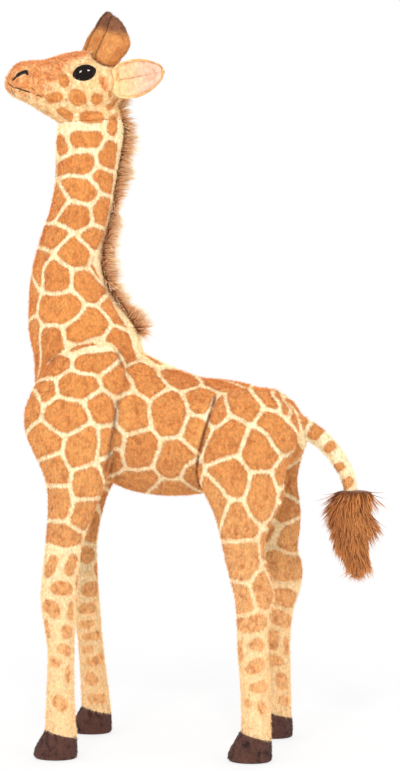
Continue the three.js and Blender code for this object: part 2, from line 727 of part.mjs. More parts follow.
function eyeSolid(side, grow) {
  const dome = new THREE.SphereGeometry(1, 16, 8);
  dome.scale(eyeLength / 2 + grow, eyeTall / 2 + grow, eyeBulge + grow);
  const out = eyeOut(side);
  const long = up.clone().cross(out).normalize();
  dome.applyMatrix4(new THREE.Matrix4().makeBasis(long, out.clone().cross(long), out));
  const seat = eyeAt(side);
  dome.translate(seat.x, seat.y, seat.z);
  const front = solid(dome).subtract(beyond(
    seat.clone().addScaledVector(out, -eyeBulge / 3 - grow),
    out.clone().negate(),
    headLength,
  ));
  const shankEnd = seat.clone().addScaledVector(out, -eyeShankLength - grow);
  return front.add(rod(seat, shankEnd, eyeShankRadius + grow, 8));
}

function eyeWasher(side, grow) {
  const out = eyeOut(side);
  const inner = eyeAt(side).addScaledVector(out, -0.9 * eyeShankLength - grow);
  const outer = inner.clone().addScaledVector(out, eyeWasherThickness + 2 * grow);
  return rod(inner, outer, eyeWasherRadius + grow, 12);
}

// Upper neck and head, turned together to the giraffe's left
const upperNeckGroup = groupAt(neckGroup, turnPivot);
upperNeckGroup.quaternion.setFromAxisAngle(turnAxis, radians(headTurn));
const fromTurn = (body) => solid(geometryOf(body).translate(-turnPivot.x, -turnPivot.y, -turnPivot.z));
const headSwing = swept(headSkin(gap), centre, aside, headNod);
const headInNeck = solid(geometryOf(headSwing).translate(poll.x, poll.y, poll.z)).add(pollBall(poll, gap));
const upperNeckBody = cutAll(neckSkin(0), [belowTurn(turnGap), headInNeck, upperNeckBar(wireBore)]);
add(upperNeckGroup, 'upper_neck', fromTurn(upperNeckBody), spottedPlush);
const upperWire = cutAll(upperNeckBar(wireRadius), [belowTurn(turnGap), pollBall(poll, gap)]);
add(upperNeckGroup, 'upper_neck_wire', fromTurn(upperWire), armatureSteel);
const maneHigh = cutAll(maneSkin(0.56, 0.94), [neckSkin(gap), belowTurn(turnGap), headInNeck]);
add(upperNeckGroup, 'mane_upper', fromTurn(maneHigh), brownPile);

const headGroup = groupAt(upperNeckGroup, poll.clone().sub(turnPivot));
const headWireShares = [[0.77, 0.2], [0.7, 0.42], [0.5, 0.5], [0.32, 0.53]];

const headCurve = new THREE.CatmullRomCurve3([
  point(0, 0, -pollBallRadius - wireOverrun),
  ...headWireShares.map(([along, rise]) => onHead(along, 0, rise)),
]);
const headBar = (radius) => bar(headCurve, radius, 12);
const headWireEnd = headCurve.getTangentAt(1);
const headWire = cutAll(headBar(wireRadius), [
  beyond(point(0, 0, 2 * gap - pollBallRadius), up.clone().negate(), headLength),
  beyond(headCurve.getPointAt(1).addScaledVector(headWireEnd, -gap), headWireEnd, headLength),
]);
const headTools = [headBar(wireBore)];
for (const side of [-1, 1]) {
  headTools.push(eyeSolid(side, gap), eyeWasher(side, gap));
  headTools.push(earBall(side, gap));
}
add(headGroup, 'head', cutAll(headSkin(0).add(pollBall(centre, 0)), headTools), spottedPlush);
add(headGroup, 'head_wire', headWire, armatureSteel);

for (const horn of horns) {
  const { hand, side } = horn;
  const seam = horn.base.clone().addScaledVector(horn.axis, hornCapShare * horn.height);
  const under = beyond(seam.clone().addScaledVector(horn.axis, -turnGap), horn.axis, headLength);
  const over = beyond(seam.clone().addScaledVector(horn.axis, turnGap), horn.axis.clone().negate(), headLength);
  const whole = hornSkin(horn).subtract(headSkin(gap));
  add(headGroup, `${hand}_horn`, whole.subtract(under), hornPlush);
  add(headGroup, `${hand}_horn_cap`, whole.subtract(over), hornCapPlush);
  const washer = eyeWasher(side, 0).subtract(eyeSolid(side, gap));
  add(headGroup, `${hand}_eye`, eyeSolid(side, 0), eyePlastic);
  add(headGroup, `${hand}_eye_washer`, washer, washerPlastic);
  const earGroup = groupAt(headGroup, point(0, 0, 0));
  const headSeenByEar = swept(headSkin(gap), earRoot(side), up, earFlap);
  const ear = largest(earLeaf(side, 0).subtract(headSeenByEar)).add(earBall(side, 0));
  add(earGroup, `${hand}_ear`, ear.subtract(earScoop(side, 0)), spottedPlush);
  const lining = earLeaf(side, -2 * gap).intersect(earScoop(side, gap)).subtract(earScoop(side, gap + earLiningThickness));
  add(earGroup, `${hand}_ear_lining`, lining, earPlush);
}

// The origin is on the floor, under the middle of the whole giraffe.
giraffe.updateMatrixWorld(true);
const span = new THREE.Box3().setFromObject(giraffe, true);
const middle = span.getCenter(new THREE.Vector3());
giraffe.position.set(-middle.x, -middle.y, -span.min.z);
giraffe.updateMatrixWorld(true);

// Hinge lines, for whoever poses the giraffe
const hinge = (group, spot, axis) => ({
  at: group.localToWorld(spot.clone()),
  axis: axis.clone().transformDirection(group.matrixWorld),
});
giraffe.userData.hinges = {
  neck_bend: hinge(giraffe, neckPivot, aside),
  neck_turn: hinge(giraffe, turnPivot, turnAxis),
  head_nod: hinge(headGroup, centre, aside),
  tail_wag: hinge(giraffe, tailPivot, up),
  left_ear_flap: hinge(headGroup, earRoot(-1), up),
  right_ear_flap: hinge(headGroup, earRoot(1), up),
  front_hips: hinge(giraffe, legs[0].hip, aside),
  rear_hips: hinge(giraffe, legs[2].hip, aside),
};

export default giraffe;
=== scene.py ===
import json
import math

import bmesh
import bpy
import numpy as np
from mathutils import Matrix, Vector
from mathutils.bvhtree import BVHTree


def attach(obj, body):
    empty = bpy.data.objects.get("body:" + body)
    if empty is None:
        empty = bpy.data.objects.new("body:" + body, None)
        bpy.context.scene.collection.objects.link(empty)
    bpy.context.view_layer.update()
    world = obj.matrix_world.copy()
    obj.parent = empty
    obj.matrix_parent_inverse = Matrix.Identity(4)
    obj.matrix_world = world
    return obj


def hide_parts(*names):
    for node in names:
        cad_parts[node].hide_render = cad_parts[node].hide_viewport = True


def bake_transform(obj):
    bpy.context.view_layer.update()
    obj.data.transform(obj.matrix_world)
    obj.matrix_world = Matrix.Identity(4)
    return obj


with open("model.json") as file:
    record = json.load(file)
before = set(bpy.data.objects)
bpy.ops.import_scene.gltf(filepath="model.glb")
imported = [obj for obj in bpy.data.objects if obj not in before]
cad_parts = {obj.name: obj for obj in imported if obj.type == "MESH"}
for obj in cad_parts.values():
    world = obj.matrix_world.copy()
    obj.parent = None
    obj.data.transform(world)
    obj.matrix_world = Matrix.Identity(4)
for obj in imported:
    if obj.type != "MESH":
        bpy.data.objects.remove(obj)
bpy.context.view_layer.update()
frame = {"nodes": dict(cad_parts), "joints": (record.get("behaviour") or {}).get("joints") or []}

# Camera: level, a little behind the giraffe's left side and at the height of its belly. The picture's middle
# and its focal length, in pixels, also lay the pattern, the painted crease shade and the face on the skin.
MM = 0.001
view_yaw = math.radians(6)
view_distance = 1.5
view_height = 0.293
stage_centre_x = 5 * MM
picture_middle = (200, 385.5)
picture_focal = 1852
lens_mm, sensor_mm = 86.47, 36
nearest_shown = 50 * MM

look = Vector((-math.sin(view_yaw), math.cos(view_yaw), 0))
look_right = Vector((math.cos(view_yaw), math.sin(view_yaw), 0))
up = Vector((0, 0, 1))
camera = bpy.data.objects.new("camera", bpy.data.cameras.new("camera"))
bpy.context.scene.collection.objects.link(camera)
camera.location = Vector((stage_centre_x, 0, view_height)) - look * view_distance
camera.rotation_euler = (math.pi / 2, 0, view_yaw)
camera.data.lens = lens_mm
camera.data.sensor_width = sensor_mm
camera.data.clip_start = nearest_shown
bpy.context.scene.camera = camera
bpy.context.scene.view_settings.view_transform = "Standard"

# Coat: one printed plush for torso, neck, head and legs. Each brown patch grows from a short line on the
# skin, and a cream line is left where two patches meet. Places are in the picture's frame, with the reach
# of a patch that stands alone on the cream, in millimetres.
neck_patches = [
    (60, 142, 63, 148, 7), (77, 139, 97, 139, 7), (113, 119, 112, 129, 5.5), (108, 147, 106, 159),
    (66, 165, 86, 163), (101, 177, 107, 185), (69, 186, 89, 191), (50, 194, 49, 206), (104, 204, 99, 215),
    (65, 214, 84, 217), (48, 240, 56, 236), (93, 235, 98, 243), (70, 250, 82, 256), (34, 256, 32, 272),
    (97, 263, 99, 268), (49, 271, 57, 278), (86, 280, 94, 290), (32, 288, 31, 306), (50, 310, 66, 308),
    (96, 321, 80, 333), (111, 308, 122, 320), (33, 330, 34, 346), (50, 340, 52, 353),
    (74, 349, 92, 346, 3.5), (120, 338, 124, 351),
]
shoulder_patches = [
    (61, 363, 48, 372), (85, 362, 99, 363), (70, 384, 88, 386), (112, 380, 120, 382), (44, 386, 45, 391),
    (33, 402, 29, 415), (58, 412, 74, 416), (99, 403, 106, 413), (38, 436, 47, 447), (88, 440, 79, 455),
    (108, 437, 109, 447), (53, 465, 57, 475), (86, 479, 86, 490), (58, 496, 60, 510), (86, 508, 80, 518),
    (59, 532, 69, 537),
]
torso_patches = [
    (142, 373, 147, 384), (174, 375, 186, 380), (130, 406, 130, 418), (168, 408, 172, 418),
    (203, 396, 205, 406), (198, 428, 199, 434), (139, 447, 135, 458), (178, 456, 172, 468),
    (110, 460, 110, 467), (122, 479, 146, 479), (166, 488, 182, 486), (193, 474, 194, 482),
    (148, 358, 157, 363, 4), (214, 381, 218, 385),
]
haunch_patches = [
    (218, 405, 216, 413), (235, 396, 249, 407), (266, 393, 274, 401), (217, 443, 233, 434),
    (257, 443, 262, 456), (271, 421, 283, 435), (287, 404, 293, 414), (228, 476, 234, 482),
    (263, 487, 262, 507), (290, 460, 283, 476), (212, 496, 217, 508), (234, 517, 243, 528),
    (245, 553, 242, 570), (263, 586, 265, 600), (240, 594, 245, 606), (246, 625, 257, 622),
    (230, 381, 247, 384), (255, 387, 270, 392), (277, 398, 287, 408),
]
leg_spots = [
    (53, 561, 49, 571, 5), (73, 560, 70, 570, 5), (57, 587, 67, 589, 6), (49, 607, 54, 611, 7),
    (71, 605, 70, 617, 3), (67, 629, 68, 633, 5), (63, 649, 67, 651, 5), (53, 661, 58, 663, 4),
    (67, 668, 68, 680, 2), (58, 701, 62, 705, 5), (46, 622, 48, 634, 3), (255, 644, 259, 645, 5),
    (240, 643, 241, 658, 3), (252, 667, 258, 664, 6), (255, 688, 263, 686, 4.5), (247, 702, 249, 705, 3),
    (261, 706, 263, 709, 4), (271, 528, 266, 538, 3),
]
inner_leg_spots = [
    (93, 522, 92, 533, 9), (86, 554, 90, 556, 7), (96, 566, 96, 570, 4), (90, 590, 95, 588, 7),
    (84, 609, 91, 608, 5), (83, 624, 90, 624, 4), (86, 637, 97, 635, 4), (85, 649, 89, 649, 3.5),
    (91, 661, 100, 658, 4.5), (90, 678, 92, 680, 5), (91, 698, 103, 698, 4), (290, 478, 291, 488),
    (284, 502, 282, 515), (288, 532, 284, 541), (276, 558, 284, 568), (281, 598, 287, 599, 9),
    (276, 616, 286, 622, 7), (274, 636, 274, 644, 6), (286, 640, 286, 651, 3), (272, 660, 279, 660, 5),
    (281, 678, 283, 684, 5), (283, 699, 286, 701, 4),
]
tail_spots = [
    (303, 417, 301, 425, 5.5), (320, 424, 314, 432, 6.5), (333, 444, 327, 449, 3.6),
    (341, 466, 335, 469, 3.4), (350, 481, 343, 485, 4),
]
head_spots = [
    (62, 79, 64, 82, 4.6), (51, 98, 57, 97, 4.6), (75, 97, 79, 99, 6.8), (97, 99, 101, 97, 5.6),
    (62, 112, 68, 116, 4.6), (85, 117, 99, 117, 5), (110, 107, 115, 101, 3.5), (101, 79, 103, 86, 1.8),
    (109, 92, 109, 96, 1.6), (46, 74, 49, 80, 1.6),
]
mane_root_line = [
    (119, 100), (121, 130), (117, 165), (112, 200), (104, 240), (103, 262), (108, 290), (122, 315),
    (136, 345),
]
single_within = 11 * MM  # a patch that starts nearer to the middle lies across it, and has no twin
full_reach = 100 * MM  # of a patch that ends only where it meets the next one
mane_margin = 5.5 * MM
cream_line = 3.5 * MM
corner_round = 0.9 * MM
head_turn_angle = math.radians(22)
shade_seed = 7

coat_nodes = [
    "torso", "neck", "upper_neck", "head", "tail",
    "front_left_leg", "front_right_leg", "rear_left_leg", "rear_right_leg",
]
turned_nodes = ("upper_neck", "head")


def tree_of(mesh):
    mesh.calc_loop_triangles()
    corners = [tuple(face.vertices) for face in mesh.loop_triangles]
    return BVHTree.FromPolygons([v.co.copy() for v in mesh.vertices], corners)


solid_trees = {name: tree_of(frame["nodes"][name].data) for name in coat_nodes}
joint_at = {joint["name"]: joint for joint in frame["joints"]}
turn_pivot = Vector(joint_at["neck_turn"]["pos_m"])
turn_axis = Vector(joint_at["neck_turn"]["axis"])
poll = Vector(joint_at["head_nod"]["pos_m"])
head_turn = Matrix.Rotation(head_turn_angle, 4, turn_axis)
unturn = Matrix.Translation(turn_pivot) @ head_turn.inverted() @ Matrix.Translation(-turn_pivot)


def sight(px, py):
    """The way from the camera through a place in the picture."""
    way = look + look_right * ((px - picture_middle[0]) / picture_focal)
    return (way + up * ((picture_middle[1] - py) / picture_focal)).normalized()


def on_skin(px, py):
    """The point of the coat that shows at a place in the picture, and the node that it is on."""
    way = sight(px, py)
    met = []
    for name, tree in solid_trees.items():
        spot, _, _, distance = tree.ray_cast(camera.location, way)
        if spot:
            met.append((distance, name, spot))
    if not met:
        beside = camera.location + way * view_distance
        for name, tree in solid_trees.items():
            spot, _, _, distance = tree.find_nearest(beside)
            met.append((distance, name, spot))
    _, name, spot = min(met)
    return name, spot


def twin(name, spot):
    """The same place on the other side."""
    if name in turned_nodes:
        flat = unturn @ spot
        return unturn.inverted() @ Vector((flat.x, -flat.y, flat.z))
    other = name.replace("left", "RIGHT").replace("right", "left").replace("RIGHT", "right")
    return solid_trees[other].find_nearest(Vector((spot.x, -spot.y, spot.z)))[0]


patch_rows = [
    *neck_patches, *shoulder_patches, *torso_patches, *haunch_patches,
    *leg_spots, *inner_leg_spots, *tail_spots, *head_spots,
]
patch_lines = []
for row in patch_rows:
    name, start = on_skin(row[0], row[1])
    end = on_skin(row[2], row[3])[1]
    reach = row[4] * MM if len(row) > 4 else full_reach
    across = (unturn @ start).y if name in turned_nodes else start.y
    alone = abs(across) < single_within and "leg" not in name
    patch_lines.append((start, end, reach))
    if not alone:
        patch_lines.append((twin(name, start), twin(name, end), reach))
line_start = np.array([line[0] for line in patch_lines])
line_end = np.array([line[1] for line in patch_lines])
line_reach = np.array([line[2] for line in patch_lines])
line_shade = np.random.default_rng(shade_seed).random(len(patch_lines))

# Painted shade along the creases where a leg's lobe is sewn to the flank, each line with its strength
crease_shades = [
    (1, [(215, 398), (210, 414), (205, 430), (200, 452), (197, 470), (200, 487)]),
    (0.6, [(118, 352), (122, 366)]),
    (0.65, [(117, 400), (114, 425), (111, 440), (109, 455), (105, 470)]),
    (0.6, [(52, 362), (60, 352)]),
]
crease_shade_half_width = 1.1 * MM
crease_shade_from_middle = 20 * MM
flank = Vector((1, 0, 1))
crease_shade_paths = [(depth, [on_skin(*pixel)[1] * flank for pixel in row]) for depth, row in crease_shades]
mane_path = [on_skin(*pixel)[1] for pixel in mane_root_line]


def coordinates(mesh):
    places = np.empty(len(mesh.vertices) * 3, np.float32)
    mesh.vertices.foreach_get("co", places)
    return places.reshape(-1, 3).astype(float)


def write_attribute(mesh, name, values):
    layer = mesh.attributes.get(name) or mesh.attributes.new(name, "FLOAT", "POINT")
    layer.data.foreach_set("value", values.astype(np.float32))


def soft_least(values, softness):
    lowest = values.min(1, keepdims=True)
    return lowest[:, 0] - softness * np.log(np.exp((lowest - values) / softness).sum(1))


def distance_to_path(places, path):
    away = np.full(len(places), 1.0)
    for start, end in zip(path, path[1:]):
        start, way = np.array(start), np.array(end) - np.array(start)
        share = ((places - start) @ way / max(way @ way, 1e-12)).clip(0, 1)
        away = np.minimum(away, np.linalg.norm(places - start - share[:, None] * way, axis=1))
    return away


neighbours = 6
points_at_once = 4000


def paint(mesh):
    """Writes how far each point lies inside its patch, in metres, the patch's own shade, and the painted lobe
    shade.
    """
    places = coordinates(mesh)
    inside, shade = np.empty(len(places)), np.empty(len(places))
    along = line_end - line_start
    length = (along**2).sum(1).clip(1e-12)
    for first in range(0, len(places), points_at_once):
        block = slice(first, first + points_at_once)
        part = places[block, None]
        share = (((part - line_start) * along).sum(2) / length).clip(0, 1)
        nearest = line_start + share[:, :, None] * along
        away = np.sqrt(((part - nearest) ** 2).sum(2))
        order = np.argsort(away, axis=1)[:, :neighbours]
        near = np.take_along_axis(nearest, order[:, :, None], 1)
        gone = np.take_along_axis(away, order, 1)
        apart = np.sqrt(((near[:, 1:] - near[:, :1]) ** 2).sum(2)).clip(1e-6)
        to_border = (gone[:, 1:] ** 2 - gone[:, :1] ** 2) / (2 * apart) - cream_line / 2
        to_rim = line_reach[order[:, :1]] - gone[:, :1]
        to_mane = distance_to_path(places[block], mane_path)[:, None] - mane_margin
        inside[block] = soft_least(np.hstack([to_border, to_rim, to_mane]), corner_round)
        shade[block] = line_shade[order[:, 0]]
    write_attribute(mesh, "patch", inside)
    write_attribute(mesh, "shade", shade)
    # Painted shade along the lines where a leg's lobe is sewn to the flank
    crease_shading = np.zeros(len(places))
    for depth, path in crease_shade_paths:
        away = distance_to_path(places * flank, path)
        crease_shading = np.maximum(crease_shading, depth * (1 - away / (2 * crease_shade_half_width)))
    write_attribute(mesh, "crease", crease_shading.clip(0, 1) * (np.abs(places[:, 1]) > crease_shade_from_middle))


def rgb(red, green, blue):
    """A colour as it is seen, as the linear values that a shader takes."""
    channels = [value / 255 for value in (red, green, blue)]
    return [c / 12.92 if c <= 0.04045 else ((c + 0.055) / 1.055) ** 2.4 for c in channels] + [1]


def add_node(tree, kind, inputs=(), **settings):
    """A node with its settings, whose inputs are each given a value or another node's output."""
    made = tree.nodes.new(kind)
    for name, value in settings.items():
        setattr(made, name, value)
    for key, value in inputs:
        if isinstance(value, bpy.types.NodeSocket):
            tree.links.new(value, made.inputs[key])
        else:
            made.inputs[key].default_value = value
    return made


def maths(tree, operation, *terms):
    return add_node(tree, "ShaderNodeMath", enumerate(terms), operation=operation).outputs["Value"]


def scaled(tree, vector, factor):
    inputs = [(0, vector), ("Scale", factor)]
    return add_node(tree, "ShaderNodeVectorMath", inputs, operation="SCALE").outputs["Vector"]


def object_place(tree):
    return add_node(tree, "ShaderNodeTexCoord").outputs["Object"]


def attribute(tree, name):
    return add_node(tree, "ShaderNodeAttribute", attribute_name=name).outputs["Fac"]


def noise(tree, place, scale, detail, roughness=0.5):
    inputs = [("Vector", place), ("Scale", scale), ("Detail", detail), ("Roughness", roughness)]
    return add_node(tree, "ShaderNodeTexNoise", inputs).outputs["Fac"]


def mixed(tree, factor, first, second):
    """A mix of two colours."""
    inputs = [("Factor", factor), ("A", first), ("B", second)]
    return add_node(tree, "ShaderNodeMix", inputs, data_type="RGBA").outputs["Result"]


def ramp(tree, value, low, high, smooth=True, start=0, end=1):
    """From start, below low, to end, above high."""
    inputs = [("Value", value), ("From Min", low), ("From Max", high), ("To Min", start), ("To Max", end)]
    kind = "SMOOTHSTEP" if smooth else "LINEAR"
    return add_node(tree, "ShaderNodeMapRange", inputs, interpolation_type=kind).outputs["Result"]


def with_sockets(group, inputs, outputs):
    """Gives a node group its sockets by name and kind. Returns what it is given and what it puts out."""
    for way, sockets in (("INPUT", inputs), ("OUTPUT", outputs)):
        for name, kind in sockets.items():
            group.interface.new_socket(name, in_out=way, socket_type="NodeSocket" + kind)
    return group.nodes.new("NodeGroupInput").outputs, group.nodes.new("NodeGroupOutput").inputs


grain_stretch = (1, 1, 0.75)
fleck_scale = 210


def plush_grain_group():
    """Mottles a colour as cut pile does: fine grain, and darker flecks where the pile parts."""
    tree = bpy.data.node_groups.new("plush grain", "ShaderNodeTree")
    given, out = with_sockets(
        tree, {"Color": "Color", "Fleck": "Color", "Flecks": "Float", "Grain": "Float"},
        {"Color": "Color", "Height": "Float"},
    )
    laid = add_node(tree, "ShaderNodeMapping", [("Vector", object_place(tree)), ("Scale", grain_stretch)])
    grain = noise(tree, laid.outputs["Vector"], given["Grain"], 3)
    fleck = noise(tree, laid.outputs["Vector"], fleck_scale, 4, 0.62)
    amount = maths(tree, "MULTIPLY", ramp(tree, fleck, 0.47, 0.68), given["Flecks"])
    flecked = mixed(tree, amount, given["Color"], given["Fleck"])
    bright = ramp(tree, grain, 0.3, 0.7, smooth=False, start=0.8, end=1.2)
    tree.links.new(scaled(tree, flecked, bright), out["Color"])
    tree.links.new(grain, out["Height"])
    return tree


plush_grain = plush_grain_group()
grain_bump, grain_depth = 0.5, 0.8 * MM


def new_material(name, roughness, sheen=0.0):
    material = bpy.data.materials.new(name)
    material.use_nodes = True
    shader = material.node_tree.nodes["Principled BSDF"]
    shader.inputs["Roughness"].default_value = roughness
    shader.inputs["Specular IOR Level"].default_value = 0.25
    if sheen:
        shader.inputs["Sheen Weight"].default_value = sheen
        shader.inputs["Sheen Roughness"].default_value = 0.6
    return material, material.node_tree, shader


def with_grain(tree, shader, colour, fleck, flecks, grain):
    """Puts the plush grain between a colour and the shader."""
    inputs = [("Color", colour), ("Fleck", fleck), ("Flecks", flecks), ("Grain", grain)]
    group = add_node(tree, "ShaderNodeGroup", inputs, node_tree=plush_grain)
    inputs = [("Strength", grain_bump), ("Distance", grain_depth), ("Height", group.outputs["Height"])]
    bump = add_node(tree, "ShaderNodeBump", inputs)
    tree.links.new(group.outputs["Color"], shader.inputs["Base Color"])
    tree.links.new(bump.outputs["Normal"], shader.inputs["Normal"])


def coat_material():
    """Brown patches with dark rims on cream. They differ less at the feet, and the head's cream is golden."""
    material, tree, shader = new_material("giraffe coat", 0.92, sheen=0.15)
    place = object_place(tree)
    height = add_node(tree, "ShaderNodeSeparateXYZ", [("Vector", place)]).outputs["Z"]
    tan = attribute(tree, "tan")

    inside = maths(tree, "MULTIPLY_ADD", noise(tree, place, 330, 2), 2.4 * MM, attribute(tree, "patch"))
    on_patch = ramp(tree, inside, 0.1 * MM, 1.9 * MM)
    in_patch = ramp(tree, inside, 1.6 * MM, 4.2 * MM)
    brown = mixed(tree, ramp(tree, height, 0.1, 0.34), rgb(230, 178, 112), rgb(232, 162, 87))
    own_shade = ramp(tree, attribute(tree, "shade"), 0, 1.8, smooth=False)
    brown = mixed(tree, own_shade, brown, rgb(216, 142, 74))
    rim = maths(tree, "MULTIPLY", maths(tree, "SUBTRACT", 1, in_patch), 0.42)
    brown = mixed(tree, rim, brown, rgb(196, 130, 68))
    brown = mixed(tree, ramp(tree, height, 0.02, 0.25), rgb(241, 190, 130), brown)
    cream = mixed(tree, ramp(tree, height, 0.06, 0.24), rgb(248, 216, 166), rgb(253, 238, 200))
    golden = maths(tree, "MULTIPLY", ramp(tree, noise(tree, place, 240, 3), 0.2, 0.6), tan)
    cream = mixed(tree, golden, cream, rgb(238, 190, 118))
    colour = mixed(tree, on_patch, cream, brown)

    speckle = noise(tree, place, 170, 4, 0.65)
    blush = maths(tree, "MULTIPLY_ADD", speckle, 1.6, attribute(tree, "blush"))
    colour = mixed(tree, ramp(tree, blush, 1, 1.6), colour, rgb(226, 150, 86))
    blotched = maths(tree, "MULTIPLY", ramp(tree, speckle, 0.5, 0.72), tan)
    colour = mixed(tree, blotched, colour, rgb(196, 120, 62))
    dark = ramp(tree, attribute(tree, "dark"), 0.35, 0.6)
    colour = mixed(tree, dark, colour, rgb(30, 14, 8))
    fleck = mixed(tree, on_patch, rgb(240, 200, 140), rgb(190, 106, 48))
    fleck = mixed(tree, dark, fleck, rgb(30, 14, 8))

    strand_tone = maths(tree, "MULTIPLY_ADD", attribute(tree, "along"), 0.3, 0.9)
    strand_tone = maths(tree, "MULTIPLY_ADD", attribute(tree, "tint"), 0.24, strand_tone)
    # Painted shade: darker in the creases by the leg lobes, and on the head round the horns' roots
    crease = ramp(tree, attribute(tree, "crease"), 0, 0.9)
    crease_shading = mixed(tree, crease, scaled(tree, colour, strand_tone), rgb(118, 58, 24))
    with_grain(tree, shader, crease_shading, fleck, 0.62, 520)
    return material


coat = coat_material()

# Torso and neck: a stuffed barrel and an upright stuffed neck, cut from one run of the coat and sewn at the
# withers. The neck bends at its root and twists half way up, so it follows the torso below and the head
# above.
torso_length, torso_height, torso_half_width, belly_height = 215 * MM, 124 * MM, 47 * MM, 204.7 * MM
torso_front = -126 * MM
torso_shares = [
    (0.014, 0.865, 0.543, 0.47), (0.051, 0.946, 0.381, 0.66), (0.107, 0.994, 0.252, 0.79),
    (0.181, 0.994, 0.156, 0.85), (0.251, 0.978, 0.103, 0.89), (0.33, 0.946, 0.043, 0.95),
    (0.4, 0.91, 0.015, 0.98), (0.498, 0.833, 0, 1), (0.609, 0.76, 0.015, 1), (0.702, 0.744, 0.059, 0.98),
    (0.795, 0.712, 0.115, 0.94), (0.879, 0.648, 0.156, 0.87), (0.944, 0.583, 0.204, 0.74),
    (0.981, 0.51, 0.269, 0.55),
]
torso_tail_share = 0.4
torso_sides, torso_voxel, torso_smoothings = 72, 2.6 * MM, 12
neck_length, neck_depth, neck_half_width = 209 * MM, 88 * MM, 33 * MM
neck_root = Vector(joint_at["neck_bend"]["pos_m"])
neck_shares = [
    (-0.2, -0.3, 0.5, 0.9), (-0.12, -0.4, 0.54, 0.96), (-0.043, -0.443, 0.55, 1), (0.041, -0.449, 0.545, 1),
    (0.08, -0.47, 0.539, 1), (0.158, -0.508, 0.497, 0.985), (0.235, -0.508, 0.358, 0.94),
    (0.313, -0.499, 0.228, 0.88), (0.39, -0.475, 0.173, 0.82), (0.468, -0.43, 0.168, 0.76),
    (0.545, -0.374, 0.209, 0.73), (0.623, -0.309, 0.247, 0.706), (0.7, -0.272, 0.274, 0.7),
    (0.778, -0.253, 0.302, 0.7), (0.856, -0.253, 0.339, 0.71), (0.933, -0.244, 0.3625, 0.73),
    (1.01, -0.2, 0.33, 0.68),
]
neck_sides, neck_foot_share, neck_tip_rise = 64, 0.3, 12 * MM
withers_height, neck_bend_reach, twist_run = 318 * MM, 85 * MM, 70 * MM
ring_spacing = 2.5 * MM


def between(rows, spacing):
    """More rows on a smooth curve through the given ones, no further apart than the spacing."""
    rows = np.array(rows, float)
    padded = np.vstack([2 * rows[0] - rows[1], rows, 2 * rows[-1] - rows[-2]])
    out = []
    for i in range(len(rows) - 1):
        a, b, c, d = padded[i:i + 4]
        steps = max(1, math.ceil(np.linalg.norm((c - b)[:3]) / spacing))
        for step in range(steps):
            t = step / steps
            place = 2 * b + (c - a) * t + (2 * a - 5 * b + 4 * c - d) * t * t
            out.append(0.5 * (place + (3 * b - 3 * c + d - a) * t**3))
    out.append(rows[-1])
    return np.array(out)


def ring_faces(sides, rings):
    """Faces between rings of points, with one point before the first ring and one after the last."""
    faces = []
    for side in range(sides):
        after = (side + 1) % sides
        faces.append((0, 1 + after, 1 + side))
        for ring in range(rings - 1):
            here, there = 1 + ring * sides, 1 + (ring + 1) * sides
            faces.append((here + side, here + after, there + after, there + side))
        here = 1 + (rings - 1) * sides
        faces.append((1 + rings * sides, here + side, here + after))
    return faces


def loft(rows, sides, spacing, poles=(None, None), round_steps=5):
    """Points and faces of a closed skin through rings. A row holds a ring's centre and its two half axes."""
    rows = between([np.hstack([np.array(v) for v in row]) for row in rows], spacing)
    rings = [rows]
    for end, pole in ((0, poles[0]), (-1, poles[1])):
        if pole is None:
            continue
        cap = []
        for step in range(1, round_steps):
            turn = step / round_steps * math.pi / 2
            ring = rows[end] * math.cos(turn)
            ring[:3] = rows[end][:3] + (np.array(pole) - rows[end][:3]) * math.sin(turn)
            cap.append(ring)
        rings = [np.array(cap[::-1]), *rings] if end == 0 else [*rings, np.array(cap)]
    rows = np.vstack(rings)
    tips = [np.array(poles[0] if poles[0] is not None else rows[0][:3])]
    tips.append(np.array(poles[1] if poles[1] is not None else rows[-1][:3]))
    angles = np.arange(sides) / sides * 2 * math.pi
    ring_points = rows[:, None, :3] + np.cos(angles)[None, :, None] * rows[:, None, 3:6]
    ring_points = ring_points + np.sin(angles)[None, :, None] * rows[:, None, 6:9]
    points = np.vstack([tips[0], ring_points.reshape(-1, 3), tips[1]])
    return points, ring_faces(sides, len(rows))


def mesh_of(name, points, faces):
    """A smooth mesh whose faces point out."""
    mesh = bpy.data.meshes.new(name)
    mesh.from_pydata([tuple(p) for p in points], [], faces)
    shape = bmesh.new()
    shape.from_mesh(mesh)
    bmesh.ops.recalc_face_normals(shape, faces=shape.faces)
    if shape.calc_volume(signed=True) < 0:
        bmesh.ops.reverse_faces(shape, faces=shape.faces)
    shape.to_mesh(mesh)
    shape.free()
    mesh.shade_smooth()
    return mesh


def as_piece(name, mesh, *materials):
    piece = bpy.data.objects.new(name, mesh)
    bpy.context.scene.collection.objects.link(piece)
    for material in materials:
        mesh.materials.append(material)
    mesh.name = name
    return piece


def made_by_modifiers(carrier):
    """The mesh that an object's modifiers make. The object goes."""
    graph = bpy.context.evaluated_depsgraph_get()
    made = bpy.data.meshes.new_from_object(carrier.evaluated_get(graph), depsgraph=graph)
    bpy.data.objects.remove(carrier)
    return made


def stuffed(mesh, voxel, smoothings):
    """A skin whose parts run into each other and are rounded over, as stuffing does."""
    carrier = as_piece("carrier", mesh)
    remesh = carrier.modifiers.new("REMESH", "REMESH")
    remesh.mode, remesh.voxel_size = "VOXEL", voxel
    smooth = carrier.modifiers.new("SMOOTH", "SMOOTH")
    smooth.factor, smooth.iterations = 0.5, smoothings
    finer = carrier.modifiers.new("SUBSURF", "SUBSURF")
    finer.levels, finer.render_levels = 1, 1
    made = made_by_modifiers(carrier)
    made.shade_smooth()
    return made


